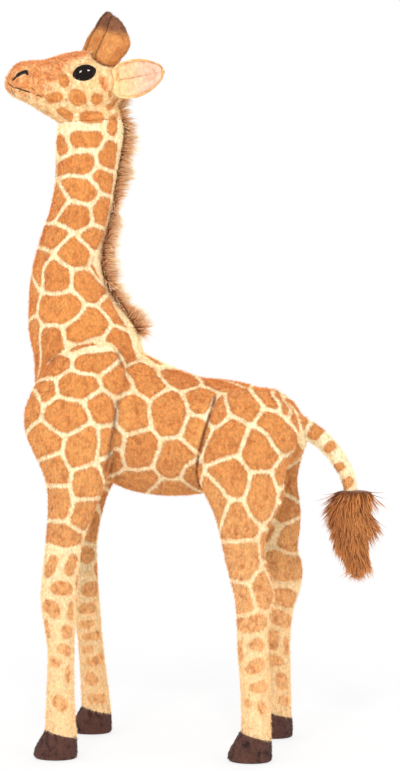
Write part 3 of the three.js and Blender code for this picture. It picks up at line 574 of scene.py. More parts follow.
def half_of(mesh, spot, normal, keep_above):
    """The part of a mesh on one side of a plane, closed by a flat face."""
    shape = bmesh.new()
    shape.from_mesh(mesh)
    cut = bmesh.ops.bisect_plane(
        shape, geom=[*shape.verts, *shape.edges, *shape.faces], plane_co=spot, plane_no=normal,
        clear_inner=keep_above, clear_outer=not keep_above,
    )
    rim = [item for item in cut["geom_cut"] if isinstance(item, bmesh.types.BMEdge)]
    lid = bmesh.ops.edgeloop_fill(shape, edges=rim)["faces"]
    bmesh.ops.triangulate(shape, faces=lid)
    for edge in rim:
        edge.smooth = False
    bmesh.ops.recalc_face_normals(shape, faces=shape.faces)
    made = bpy.data.meshes.new(mesh.name)
    shape.to_mesh(made)
    shape.free()
    return made


def torso_row(along, top, bottom, half):
    x = torso_front + along * torso_length
    high, low = (belly_height + share * torso_height for share in (top, bottom))
    return (x, 0, (high + low) / 2), (0, half * torso_half_width, 0), (0, 0, (high - low) / 2)


def neck_row(along, front, back, half):
    centre = (neck_root.x + (front + back) / 2 * neck_depth, 0, neck_root.z + along * neck_length)
    return centre, ((back - front) / 2 * neck_depth, 0, 0), (0, half * neck_half_width, 0)


def eased(share):
    return share * share * (3 - 2 * share)


def turned_by_height(points):
    """Turns the neck's upper part with the head, evenly over the twist."""
    pivot, axis = np.array(turn_pivot), np.array(turn_axis)
    off = np.array(points) - pivot
    share = eased(((off @ axis + twist_run / 2) / twist_run).clip(0, 1))
    angle = (head_turn_angle * share)[:, None]
    turned = off * np.cos(angle) + np.cross(axis, off) * np.sin(angle)
    return pivot + turned + axis * (off @ axis)[:, None] * (1 - np.cos(angle))


torso_rows = [torso_row(*row) for row in torso_shares]
torso_breast = (torso_front, 0, torso_rows[0][0][2])
torso_rump = (torso_front + torso_length, 0, belly_height + torso_tail_share * torso_height)
barrel = loft(torso_rows, torso_sides, ring_spacing, (torso_breast, torso_rump))
neck_top = neck_row(*neck_shares[-1])
neck_tip = (neck_top[0][0], 0, neck_top[0][2] + neck_tip_rise)
neck_foot = (neck_root.x, 0, neck_root.z - neck_foot_share * neck_length)
column = loft([neck_row(*row) for row in neck_shares], neck_sides, ring_spacing, (neck_foot, neck_tip))
points = np.vstack([barrel[0], turned_by_height(column[0])])
faces = barrel[1] + [tuple(v + len(barrel[0]) for v in face) for face in column[1]]
body_mesh = stuffed(mesh_of("body", points, faces), torso_voxel, torso_smoothings)
withers = Vector((neck_root.x, 0, withers_height))
twist_foot = turn_pivot - turn_axis * (twist_run / 2)

torso = as_piece("torso_skin", half_of(body_mesh, withers, up, False), coat)
whole_neck = half_of(body_mesh, withers, up, True)
neck = as_piece("neck_skin", half_of(whole_neck, twist_foot, turn_axis, False), coat)
upper_neck = as_piece("upper_neck_skin", half_of(whole_neck, twist_foot, turn_axis, True), coat)
for piece in (torso, neck, upper_neck):
    paint(piece.data)
    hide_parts(piece.name.removesuffix("_skin"))
neck_bend = (withers, withers + up * neck_bend_reach)
neck_twist = (twist_foot, turn_pivot + turn_axis * (twist_run / 2))
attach(torso, "torso")
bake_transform(neck)
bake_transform(upper_neck)

# Legs: each is a stuffed tube of the coat with a padded lobe at its top. The lobe lies flat on the flank and
# is sewn down round its edge, and the leg stands straight on the wire inside it.
front_lobe_depth, rear_lobe_depth, stance_half_width = 75 * MM, 82 * MM, 66 * MM
front_leg_shares = [
    (0.03, -0.31, 0.02, 1, 0.667), (0.092, -0.305, -0.003, 0.988, 0.667),
    (0.172, -0.295, -0.02, 0.97, 0.66), (0.252, -0.285, -0.021, 0.96, 0.644),
    (0.319, -0.325, -0.016, 0.96, 0.614), (0.38, -0.365, -0.004, 0.962, 0.576),
    (0.429, -0.355, 0.007, 0.952, 0.567), (0.491, -0.33, 0.033, 0.932, 0.553),
    (0.552, -0.31, 0.107, 0.917, 0.53), (0.613, -0.3, 0.213, 0.91, 0.508),
    (0.669, -0.33, 0.297, 0.917, 0.42), (0.724, -0.435, 0.356, 0.932, 0.34),
    (0.773, -0.54, 0.397, 0.94, 0.3), (0.822, -0.57, 0.427, 0.932, 0.3), (0.859, -0.535, 0.447, 0.917, 0.3),
    (0.914, -0.42, 0.488, 0.864, 0.3), (0.963, -0.28, 0.487, 0.79, 0.3), (0.991, -0.08, 0.413, 0.7, 0.35),
]
rear_leg_shares = [
    (0.03, -0.091, 0.189, 0.939, 0.621), (0.124, -0.083, 0.185, 0.924, 0.615),
    (0.214, -0.098, 0.177, 0.909, 0.606), (0.303, -0.122, 0.159, 0.898, 0.595),
    (0.372, -0.128, 0.176, 0.894, 0.583), (0.434, -0.146, 0.216, 0.894, 0.561),
    (0.493, -0.2, 0.193, 0.894, 0.545), (0.545, -0.244, 0.124, 0.894, 0.53),
    (0.607, -0.293, 0.137, 0.902, 0.515), (0.662, -0.346, 0.223, 0.909, 0.508),
    (0.71, -0.427, 0.302, 0.909, 0.47), (0.759, -0.502, 0.307, 0.909, 0.394),
    (0.814, -0.507, 0.36, 0.909, 0.303), (0.869, -0.463, 0.44, 0.894, 0.3),
    (0.924, -0.402, 0.427, 0.848, 0.3), (0.966, -0.341, 0.329, 0.773, 0.3),
    (0.99, -0.232, 0.207, 0.697, 0.35),
]
near_stance = [(0, 0), (1, 0)]
front_right_stance = [
    (0, 0.14), (0.12, 0.13), (0.28, 0.06), (0.47, -0.025), (0.62, -0.1), (0.78, 0), (1, 0),
]
rear_right_stance = [
    (0, 0.13), (0.2, 0.12), (0.4, 0.17), (0.52, 0.25), (0.62, 0.27), (0.665, 0.18), (0.71, 0.08),
    (0.83, 0.07), (0.93, 0), (1, 0),
]
# For each end: the lobe's depth, its top over the belly, that top's set-back, the rows, the far leg's stance
leg_ends = {
    "front": (front_lobe_depth, 0.978, 0.2, front_leg_shares, front_right_stance),
    "rear": (rear_lobe_depth, 0.688, 0, rear_leg_shares, rear_right_stance),
}
leg_sides, leg_voxel, leg_smoothings, leg_foot_height = 64, 2.4 * MM, 3, 8 * MM
hip_bend_above, hip_bend_below = 30 * MM, 45 * MM
hoof_height, hoof_slope = 20 * MM, math.radians(15)
hoof_seam_way = Vector((math.sin(hoof_slope), 0, math.cos(hoof_slope)))
seam_gap = 0.3 * MM
hands = (("left", -1), ("right", 1))


def move_points(mesh, places):
    mesh.vertices.foreach_set("co", places.astype(np.float32).ravel())
    mesh.update()


def seat(mesh, tree, way, gap):
    """Moves each point of a mesh that lies inside a neighbour out along a way, on to the neighbour's skin."""
    places = coordinates(mesh)
    way = Vector(way).normalized()
    for index, place in enumerate(places):
        start = Vector(place)
        spot, normal, _, distance = tree.ray_cast(start, way)
        if spot and normal.dot(way) > 0:
            places[index] = start + way * (distance + gap)
    move_points(mesh, places)


torso_tree = tree_of(torso.data)
body_tree = tree_of(body_mesh)
legs = {}
for end, (depth, top_share, set_back, leg_shares, right_stance) in leg_ends.items():
    height = belly_height + top_share * torso_height
    for hand, side in hands:
        name = f"{end}_{hand}_leg"
        hip = Vector(joint_at[f"{end}_{hand}_hip"]["pos_m"])
        stance_rises, stance_shifts = zip(*(near_stance if side < 0 else right_stance))
        rows = []
        for rise, fore, back, outer, inner in leg_shares:
            x = hip.x + ((fore + back) / 2 + np.interp(rise, stance_rises, stance_shifts)) * depth
            middle = (x, side * (outer + inner) / 2 * stance_half_width, rise * height)
            half_wide = (outer - inner) / 2 * stance_half_width
            rows.append((middle, ((back - fore) / 2 * depth, 0, 0), (0, half_wide, 0)))
        foot_x, foot_y, _ = rows[0][0]
        foot = (foot_x, foot_y, leg_foot_height)
        top = (hip.x + set_back * depth, rows[-1][0][1], height)
        leg_loft = loft(rows, leg_sides, ring_spacing, (foot, top))
        skin = stuffed(mesh_of(name, *leg_loft), leg_voxel, leg_smoothings)
        seat(skin, body_tree, (0, side, 0), seam_gap)
        ankle = Vector((foot_x, foot_y, hoof_height))
        leg = as_piece(f"{name}_skin", half_of(skin, ankle, hoof_seam_way, True), coat)
        paint(leg.data)
        hip_bend = (hip + up * hip_bend_above, hip - up * hip_bend_below)
        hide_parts(name)
        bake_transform(leg)
        legs[name] = leg, ankle, hip_bend

# Head: one stuffed skin of the coat with its muzzle and jaw, sewn to the neck under the jaw. Nostrils, mouth
# and lips are drawn in by thread and marked by dark pile, and the muzzle has a brown blush.
head_length, head_height, head_half_width = 98 * MM, 61 * MM, 27 * MM
head_shares = [
    (0.04, 0.643, 0.47, 0.29), (0.075, 0.74, 0.395, 0.42), (0.137, 0.825, 0.355, 0.5),
    (0.239, 0.858, 0.278, 0.54), (0.341, 0.869, 0.178, 0.59), (0.433, 0.918, 0.103, 0.7),
    (0.524, 0.964, 0.02, 0.85), (0.616, 0.99, 0.01, 0.96), (0.718, 1, 0.052, 1), (0.82, 0.987, 0.151, 1),
    (0.902, 0.905, 0.249, 0.92), (0.963, 0.774, 0.348, 0.7),
]
head_sides, head_spacing, head_voxel, head_smoothings = 72, 1.5 * MM, 1.5 * MM, 10
muzzle_tip_share, head_back_share = (0.018, 0, 0.556), (1, 0, 0.561)
head_seam_drop, head_seam_tilt, head_seam_gap = 6.5 * MM, 0.06, 0.3 * MM
head_bend_reach = 26 * MM
poll_along, poll_rise = 0.77, 0.184
head_tan = 0.7
head_turn_3 = head_turn.to_3x3()
head_to_world = Matrix.Translation(poll) @ head_turn_3.to_4x4()


def head_place(along, side, rise):
    """A place given in shares of the head, from the muzzle back, out from the middle and up from the jaw."""
    return Vector((
        (along - poll_along) * head_length, side * head_half_width, (rise - poll_rise) * head_height,
    ))


def on_head(along, side, rise):
    """The same place on the head as it is turned."""
    return head_to_world @ head_place(along, side, rise)


def press(mesh, path, width, depth):
    """Sinks a line of a skin along its own normals."""
    places = coordinates(mesh)
    normals = np.empty(len(places) * 3, np.float32)
    mesh.vertices.foreach_get("normal", normals)
    sink = eased(np.clip(1 - distance_to_path(places, path) / width, 0, 1)) * depth
    move_points(mesh, places - normals.reshape(-1, 3) * sink[:, None])


def traced(*pixels):
    """A line on the head's skin and its twin on the other side, from places in the picture."""
    near = [
        head_skin_tree.ray_cast(camera.location, sight(px, py))[0] or on_skin(px, py)[1] for px, py in pixels
    ]
    return [near, [head_skin_tree.find_nearest(twin("head", spot))[0] for spot in near]]


def strength(places, lines):
    """1 on a line of full strength, and 0 from twice its width on."""
    return np.max([
        full * (1 - distance_to_path(places, path) / (2 * width))
        for paths, width, full in lines for path in paths
    ], axis=0).clip(0, 1)


rows = []
for along, top, bottom, half in head_shares:
    middle = head_place(along, 0, (top + bottom) / 2)
    rows.append((middle, (0, half * head_half_width, 0), (0, 0, (top - bottom) / 2 * head_height)))
head_tips = (head_place(*muzzle_tip_share), head_place(*head_back_share))
head_loft = loft(rows, head_sides, head_spacing, head_tips, round_steps=8)
head_points = [head_to_world @ Vector(p) for p in head_loft[0]]
head_seam = head_to_world @ Vector((0, 0, -head_seam_drop))
head_seam_way = (head_turn_3 @ Vector((-head_seam_tilt, 0, 1))).normalized()
throat = half_of(whole_neck, head_seam, head_seam_way, True)
throat_faces = [tuple(v + len(head_points) for v in face.vertices) for face in throat.polygons]
rough_head = mesh_of("head", head_points + [v.co for v in throat.vertices], head_loft[1] + throat_faces)
rounded_head = stuffed(rough_head, head_voxel, head_smoothings)
head_skin = half_of(rounded_head, head_seam + head_seam_way * head_seam_gap, head_seam_way, True)
head_skin_tree = tree_of(head_skin)
places = coordinates(head_skin)

nostrils = traced((12, 79.5), (17, 75), (21, 72), (26, 70.8), (27.5, 73.5))
nostril_flares = traced((17.5, 74.6), (22, 72.2), (26, 71))
mouths = traced((6.5, 81), (9, 85.5), (13, 88), (18, 89), (23, 91), (29, 93))
lip_folds = [
    path for pixels in (
        [(11, 89), (12.5, 92), (15, 95.5)], [(19, 92), (22, 90), (25.5, 92.5)], [(31, 87.5), (34, 90)],
        [(37, 95), (41, 96.5)], [(28, 96), (30, 98)],
    ) for path in traced(*pixels)
]
# Each line has its width, with its depth where it is pressed and its strength where it is drawn
pressed_lines = [(nostrils, 3.2 * MM, 1.8 * MM), (mouths, 3 * MM, 1.6 * MM)]
dark_lines = [
    (nostrils, 1.1 * MM, 1), (nostril_flares, 1.8 * MM, 1),
    (mouths, 1 * MM, 0.72), (lip_folds, 0.95 * MM, 0.6),
]
blush_bands = [
    (traced((20, 67), (44, 64), (60, 60), (78, 54)), 8.5 * MM, 1),
    (traced((10, 82), (24, 83), (40, 84)), 8 * MM, 1),
    (traced((30, 76), (50, 74), (60, 68)), 6.5 * MM, 1),
    (traced((103, 79), (106, 88)), 2.6 * MM, 1),
]
for paths, width, depth in pressed_lines:
    for path in paths:
        press(head_skin, path, width, depth)
head = as_piece("head_skin", head_skin, coat)
paint(head.data)
dark = strength(places, dark_lines)
write_attribute(head.data, "dark", dark)
write_attribute(head.data, "blush", strength(places, blush_bands))
write_attribute(head.data, "tan", np.full(len(places), head_tan))
head_bend = (head_seam, head_seam + head_seam_way * head_bend_reach)
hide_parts("head")
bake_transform(head)

# The neck ends under the head's seam.
crown = half_of(upper_neck.data, head_seam, head_seam_way, False)
upper_neck.data = crown
crown.materials.clear()
crown.materials.append(coat)
crown.name = "upper_neck_skin"
head_tree = tree_of(head.data)

# Eyes: glossy black plastic domes, a little flattened in the middle and drawn to a point at each corner. Each
# one's shank goes through the skin of the head and is locked by a washer inside.
eye_length, eye_tall, eye_bulge = 19.6 * MM, 13.4 * MM, 2.8 * MM
eye_share, eye_facing, eye_slant = (0.628, 0.88, 0.685), (-0.3, 0.16), math.radians(16)
eye_flatness, eye_back_share, eye_corner_share = 0.85, 0.35, 0.3
eye_sides, eye_front_rings, eye_back_rings = 48, 32, 8
eye_material, tree, shader = new_material("eye plastic", 0.05)
shader.inputs["Base Color"].default_value = rgb(14, 6, 3)
shader.inputs["Specular IOR Level"].default_value = 0.2
shader.inputs["Specular Tint"].default_value = (1, 0.88, 0.8, 1)


def turned_to(out, upward):
    """Axes with z along a way out, and x along the skin."""
    long = upward.cross(out).normalized()
    return Matrix((long, out.cross(long), out)).transposed()


def eye_dome(name):
    """A lens with a domed front on a flatter back."""
    rings = []
    for step in range(eye_back_rings - 1, 0, -1):
        turn = step * math.pi / 2 / eye_back_rings
        rings.append((math.cos(turn), -eye_back_share * math.sin(turn)))
    for step in range(eye_front_rings):
        turn = step * math.pi / 2 / eye_front_rings
        rings.append((math.cos(turn) ** eye_flatness, math.sin(turn) ** eye_flatness))
    points = [(0, 0, -eye_back_share * eye_bulge)]
    for wide, high in rings:
        for side in range(eye_sides):
            angle = side / eye_sides * 2 * math.pi
            x = wide * math.cos(angle) * (eye_length / 2)
            y = wide * math.sin(angle) * (eye_tall / 2) * (1 - eye_corner_share * math.cos(angle) ** 4)
            points.append((x, y, high * eye_bulge))
    points.append((0, 0, eye_bulge))
    return mesh_of(name, points, ring_faces(eye_sides, len(rings)))


for hand, side in hands:
    out = (head_turn_3 @ Vector((eye_facing[0], side, eye_facing[1]))).normalized()
    centre = on_head(eye_share[0], side * eye_share[1], eye_share[2])
    mesh = eye_dome(f"{hand}_eye_dome")
    spin = turned_to(out, head_turn_3 @ up).to_4x4() @ Matrix.Rotation(-side * eye_slant, 4, "Z")
    mesh.transform(Matrix.Translation(centre) @ spin)
    eye = as_piece(f"{hand}_eye_dome", mesh, eye_material)
    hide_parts(f"{hand}_eye")
    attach(eye, "head")

# Horns: stuffed cones of orange plush that lean back, each with a dark brown cap sewn on and a seam down its
# front, drawn as a dark line that is partly painted shade along the horn's edge. They are sewn to the top of
# the head, in a crease that is darkened by painted shade.
horn_radius, horn_lean_out, horn_root_share = 11.9 * MM, 0.05, 0.33
horn_heights, horn_sweeps = {"left": 33 * MM, "right": 41.5 * MM}, {"left": 5.5 * MM, "right": 1.8 * MM}
horn_base_along, horn_leans = {"left": 0.828, "right": 0.795}, {"left": 0.17, "right": 0.33}
horn_shares = [
    (0.3, -0.29), (0.62, -0.19), (0.84, -0.08), (0.95, 0.05), (1, 0.2), (1, 0.37), (0.9, 0.5), (0.74, 0.63),
    (0.62, 0.76), (0.43, 0.89), (0.26, 0.96),
]
horn_base_side, horn_base_rise = 0.58, 0.91
horn_sides, horn_spacing = 48, 1.2 * MM
horn_cap_share, horn_cap_fade, horn_cap_half_gap = 0.58, 7 * MM, 0.15 * MM
horn_seam_shade_front, horn_seam_shade_width = (-0.9, -0.44, 0), 2.4 * MM
horn_crease_shade_gap, horn_crease_shade_width = 0.6 * MM, 2.4 * MM


def horn_material():
    """Orange below and dark brown above, which run into each other where the cap is sewn on."""
    material, tree, shader = new_material("horn plush", 0.95)
    wander = noise(tree, object_place(tree), 150, 3)
    above = maths(tree, "MULTIPLY_ADD", wander, 1.6 * horn_cap_fade, attribute(tree, "above"))
    capped = ramp(tree, above, 0.3 * horn_cap_fade, 1.6 * horn_cap_fade)
    colour = mixed(tree, capped, rgb(220, 156, 92), rgb(142, 94, 68))
    # The dark line down the front: the horn's seam, widened into painted shade along the horn's edge
    colour = mixed(tree, ramp(tree, attribute(tree, "seam"), 0, 1.3), colour, rgb(84, 42, 22))
    fleck = mixed(tree, capped, rgb(190, 108, 52), rgb(86, 46, 34))
    with_grain(tree, shader, colour, fleck, 0.7, 420)
    return material


horn_plush = horn_material()
horn_pieces = []
for hand, side in hands:
    horn_height = horn_heights[hand]
    base = on_head(horn_base_along[hand], side * horn_base_side, horn_base_rise)
    axis = (head_turn_3 @ Vector((horn_leans[hand], side * horn_lean_out, 1))).normalized()
    back = head_turn_3 @ Vector((1, 0, 0))
    across = axis.cross(back).normalized()
    back = across.cross(axis)
    rows = []
    for wide, rise in horn_shares:
        bulge = horn_sweeps[hand] * math.sin(math.pi * min(max(rise, 0), 1))
        middle = base + axis * rise * horn_height + back * bulge
        rows.append((middle, back * wide * horn_radius, across * wide * horn_radius))
    tips = (base - axis * horn_root_share * horn_height, base + axis * horn_height)
    whole = mesh_of(f"{hand}_horn", *loft(rows, horn_sides, horn_spacing, tips))
    cap_spot = base + axis * horn_cap_share * horn_height
    horn_mesh = half_of(whole, cap_spot - axis * horn_cap_half_gap, axis, False)
    seat(horn_mesh, head_tree, axis, seam_gap)
    horn = as_piece(f"{hand}_horn_skin", horn_mesh, horn_plush)
    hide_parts(f"{hand}_horn")
    cap_mesh = half_of(whole, cap_spot + axis * horn_cap_half_gap, axis, True)
    cap = as_piece(f"{hand}_horn_tip", cap_mesh, horn_plush)
    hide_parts(f"{hand}_horn_cap")
    horn_pieces += [(horn, tree_of(cap.data)), (cap, tree_of(horn.data))]
    # The seam's dark line, which is partly painted shade along the horn's edge
    seam_shade_way = head_turn_3 @ Vector(horn_seam_shade_front)
    seam_shade_way = (seam_shade_way - axis * seam_shade_way.dot(axis)).normalized()
    for piece in (horn, cap):
        off = coordinates(piece.data) - np.array(cap_spot)
        write_attribute(piece.data, "above", off @ np.array(axis))
        beside = np.abs(off @ np.array(axis.cross(seam_shade_way))) / horn_seam_shade_width
        write_attribute(piece.data, "seam", np.clip(1 - beside, 0, 1) * (off @ np.array(seam_shade_way) > 0))
        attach(piece, "head")

# Painted shade darkens the head's skin in the crease round the root of each horn.
horn_trees = [tree_of(bpy.data.objects[f"{hand}_horn_skin"].data) for hand, _ in hands]
near_horn = np.array([
    min(tree.find_nearest(vertex.co)[3] for tree in horn_trees) for vertex in head.data.vertices
])
write_attribute(head.data, "crease", (1 - (near_horn - horn_crease_shade_gap) / horn_crease_shade_width).clip(0, 1))

# Ears: flat plush leaves, cupped to the front and sewn to the side of the head, with a pale pink lining that
# is sewn in with a fold along its middle. Painted shade darkens the lining in its fold and along its edge.
ear_length, ear_half_width = 50 * MM, 15.2 * MM
ear_half_shares = [
    (0, 0.5), (0.06, 0.72), (0.15, 0.9), (0.3, 1), (0.45, 1), (0.57, 0.95), (0.7, 0.83), (0.8, 0.68),
    (0.9, 0.49), (0.96, 0.32), (0.99, 0.14), (1, 0.02),
]
ear_lift_shares = [(0, 0), (0.3, 0), (0.57, 0.05), (0.8, 0.11), (1, 0.2)]
ear_root_share, ear_start_share = (0.845, 0.95, 0.575), 0.05
shell_steps, shell_sides, lining_steps, lining_sides = 40, 32, 36, 60
shell_sunk, shell_rim, shell_bulge = 0.9 * MM, 2 * MM, 2.4 * MM
lining_face, lining_back, fold_depth = 0.5 * MM, 0.6 * MM, 0.5 * MM
lining_start_share, lining_long_share, lining_wide_share, fold_at_share = 0.11, 0.83, 0.86, 0.1


def ear_material(name, root, tip, fleck):
    """Plush that is as cream as the head at the ear's root, and darker with painted shade in its fold."""
    material, tree, shader = new_material(name, 0.9, sheen=0.15)
    colour = mixed(tree, ramp(tree, attribute(tree, "along"), 0.1, 0.75), root, tip)
    colour = mixed(tree, attribute(tree, "crease"), colour, rgb(168, 96, 66))
    with_grain(tree, shader, colour, fleck, 0.6, 400)
    return material


ear_plush = ear_material("ear plush", rgb(242, 204, 144), rgb(232, 178, 112), rgb(206, 130, 72))
lining_plush = ear_material("ear lining", rgb(240, 200, 146), rgb(240, 190, 162), rgb(226, 160, 124))


def leaf(name, place, steps, sides, front, rear):
    """A closed leaf between two depths, and where each of its points lies along and across it."""
    points, faces, shares = [], [], []
    for depth in (front, rear):
        for i in range(steps + 1):
            for j in range(sides + 1):
                u, v = i / steps, math.sin((j / sides - 0.5) * math.pi)
                points.append(place(u, v, depth(u, v)))
                shares.append((u, v))
    row, sheet = sides + 1, (steps + 1) * (sides + 1)
    for i in range(steps):
        for j in range(sides):
            a = i * row + j
            faces.append((a, a + 1, a + row + 1, a + row))
            faces.append((sheet + a, sheet + a + row, sheet + a + row + 1, sheet + a + 1))
    rim = [*range(row), *(i * row + sides for i in range(1, steps + 1))]
    rim += [*(steps * row + j for j in range(sides - 1, -1, -1)), *(i * row for i in range(steps - 1, 0, -1))]
    for a, b in zip(rim, rim[1:] + rim[:1]):
        faces.append((a, sheet + a, sheet + b, b))
    return mesh_of(name, points, faces), np.array(shares)


def shell_front(u, v):
    """Sunk for the lining, with a rim round it."""
    rim = min(1, max(0, (abs(v) - 0.8) / 0.12, (0.1 - u) / 0.06, (u - 0.94) / 0.04)) * min(1, 20 * (1.01 - u))
    return rim * shell_rim - shell_sunk


def shell_rear(u, v):
    edge = math.sqrt(max(0, 1 - v * v)) * min(1, 4 * (1.02 - u), 0.4 + 4 * u)
    return -shell_sunk - shell_bulge * edge


def fold(v):
    return -fold_depth * math.exp(-((v - fold_at_share) / 0.08) ** 2)


for hand, side in hands:
    root = on_head(ear_root_share[0], side * ear_root_share[1], ear_root_share[2])
    out = (head_turn_3 @ Vector((1, side, 0.1))).normalized()
    face = (head_turn_3 @ Vector((-1, side, 0))).normalized()
    rise = out.cross(face).normalized() * side

    def ear_place(u, v, depth):
        half = np.interp(u, *zip(*ear_half_shares)) * ear_half_width
        lift = np.interp(u, *zip(*ear_lift_shares)) * ear_half_width
        cup = (0.2 * abs(v) ** 1.5 - 0.1) * ear_half_width * min(1, 1.3 - u)
        along = (ear_start_share + (1 - ear_start_share) * u) * ear_length
        return root + out * along + rise * (lift + v * half) + face * (cup + depth)

    def lining_place(u, v, depth):
        return ear_place(lining_start_share + lining_long_share * u, lining_wide_share * v, depth)

    shell, shares = leaf(f"{hand}_ear_shell", ear_place, shell_steps, shell_sides, shell_front, shell_rear)
    write_attribute(shell, "along", shares[:, 0])
    seat(shell, head_tree, out, seam_gap)
    ear = as_piece(f"{hand}_ear_shell", shell, ear_plush)
    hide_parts(f"{hand}_ear")

    inner, shares = leaf(
        f"{hand}_ear_inside", lining_place, lining_steps, lining_sides,
        lambda u, v: lining_face + fold(v), lambda u, v: 0.5 * fold(v) - lining_back,
    )
    along, across = shares.T
    # Painted shade in the lining's fold, and along its edge by the shell's rim
    fold_shade = np.exp(-(((across - fold_at_share) / 0.05) ** 2)) * np.clip(1.1 - along, 0, 0.75)
    shaded = np.clip((np.abs(across) - 0.86) / 0.14, 0, 1) * 0.3
    write_attribute(inner, "along", along)
    write_attribute(inner, "crease", np.maximum(fold_shade, shaded))
    seat(inner, head_tree, out, 2 * seam_gap)
    lining = as_piece(f"{hand}_ear_inside", inner, lining_plush)
    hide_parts(f"{hand}_ear_lining")
    for piece in (ear, lining):
        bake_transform(piece)

# Hooves: dark brown plush over stuffing and a sole board, sewn to the leg at a slope that rises to the toe.
# The sole is flat, so the giraffe stands on it.
hoof_length, hoof_half_width = 33.5 * MM, 13.5 * MM
hoof_shares = [
    (0.02, -0.6, 0.335, 0.93), (0.14, -0.64, 0.36, 1), (0.45, -0.59, 0.36, 0.97), (0.8, -0.47, 0.35, 0.87),
    (1.15, -0.37, 0.345, 0.8), (1.6, -0.36, 0.34, 0.8),
]
hoof_sides, hoof_spacing = 48, 1.5 * MM


def plush_material(name, colour, fleck, flecks=0.5, grain=520, sheen=0.3):
    material, tree, shader = new_material(name, 0.92, sheen)
    with_grain(tree, shader, colour, fleck, flecks, grain)
    return material


hoof_plush = plush_material("hoof plush", rgb(100, 64, 54), rgb(44, 26, 22), flecks=1, grain=420, sheen=0.1)
hoof_pieces = []
for name, (_, ankle, _) in legs.items():
    rows = []
    for height, toe, heel, half in hoof_shares:
        middle = (ankle.x + (toe + heel) / 2 * hoof_length, ankle.y, height * hoof_height)
        rows.append((middle, ((heel - toe) / 2 * hoof_length, 0, 0), (0, half * hoof_half_width, 0)))
    sole = (rows[0][0][0], ankle.y, 0)
    whole = mesh_of(name, *loft(rows, hoof_sides, hoof_spacing, (sole, None)))
    hoof_mesh = half_of(whole, ankle - hoof_seam_way * seam_gap, hoof_seam_way, False)
    hoof_name = name.replace("_leg", "_hoof")
    hoof = as_piece(f"{hoof_name}_skin", hoof_mesh, hoof_plush)
    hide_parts(hoof_name)
    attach(hoof, name)
    hoof_pieces.append((hoof, name))

# Tail: a thin stuffed tube of the coat, sewn to the rump, that hangs back and down in a curve and tapers to
# the tuft.
tail_root_radius, tail_tip_radius, tail_reach, tail_drop = 7.2 * MM, 4.6 * MM, 44 * MM, 61 * MM
tail_shares = [
    (0, 0), (0.27, 0.115), (0.49, 0.24), (0.68, 0.39), (0.84, 0.56), (0.94, 0.72), (0.99, 0.88), (1, 1),
]
tail_sides, tail_step, tail_spacing = 32, 2 * MM, 1.6 * MM
tail_root_depth, tail_tip_drop = (4 * MM, 0, -2 * MM), 3 * MM
tail_bend_before, tail_bend_after = 3 * MM, 9 * MM
tail_pivot = Vector(joint_at["tail_wag"]["pos_m"])
path = [(tail_pivot.x + back * tail_reach, 0, tail_pivot.z - down * tail_drop) for back, down in tail_shares]
path = between(path, tail_step)
rows = []
for index, spot in enumerate(path):
    way = Vector(path[min(index + 1, len(path) - 1)] - path[max(index - 1, 0)]).normalized()
    radius = tail_root_radius + (tail_tip_radius - tail_root_radius) * index / (len(path) - 1)
    rows.append((spot, Vector((0, 1, 0)).cross(way) * radius, (0, radius, 0)))
tips = (Vector(path[0]) - Vector(tail_root_depth), Vector(path[-1]) - up * tail_tip_drop)
tail_mesh = mesh_of("tail_skin", *loft(rows, tail_sides, tail_spacing, tips))
seat(tail_mesh, torso_tree, (1, 0, -0.5), seam_gap)
tail = as_piece("tail_skin", tail_mesh, coat)
paint(tail.data)
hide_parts("tail")
tail_bend = (tail_pivot - Vector((tail_bend_before, 0, 0)), tail_pivot + Vector((tail_bend_after, 0, 0)))
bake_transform(tail)

# Pile: short strands that stand on the whole coat, combed down and back, and still shorter ones on horns and
# hooves. They leave the seams free, and lean and grow in clumps.
def strand_object(name, width, rings, bend):
    """A closed pointed strand of unit length, with its place along it as an attribute."""
    points, faces = [], []
    for ring in range(rings):
        t = ring / rings
        for side in range(3):
            angle = side * 2 * math.pi / 3
            wide = width / 2 * (1 - 0.75 * t)
            points.append((wide * math.cos(angle) + bend * t * t, wide * math.sin(angle), t))
    points.append((bend, 0, 1))
    faces.append((2, 1, 0))
    for ring in range(rings - 1):
        for side in range(3):
            here, after = ring * 3 + side, ring * 3 + (side + 1) % 3
            faces.append((here, after, after + 3, here + 3))
    last = (rings - 1) * 3
    faces += [(last + side, last + (side + 1) % 3, len(points) - 1) for side in range(3)]
    mesh = mesh_of(name, points, faces)
    write_attribute(mesh, "along", np.array([p[2] for p in points]))
    return bpy.data.objects.new(name, mesh)


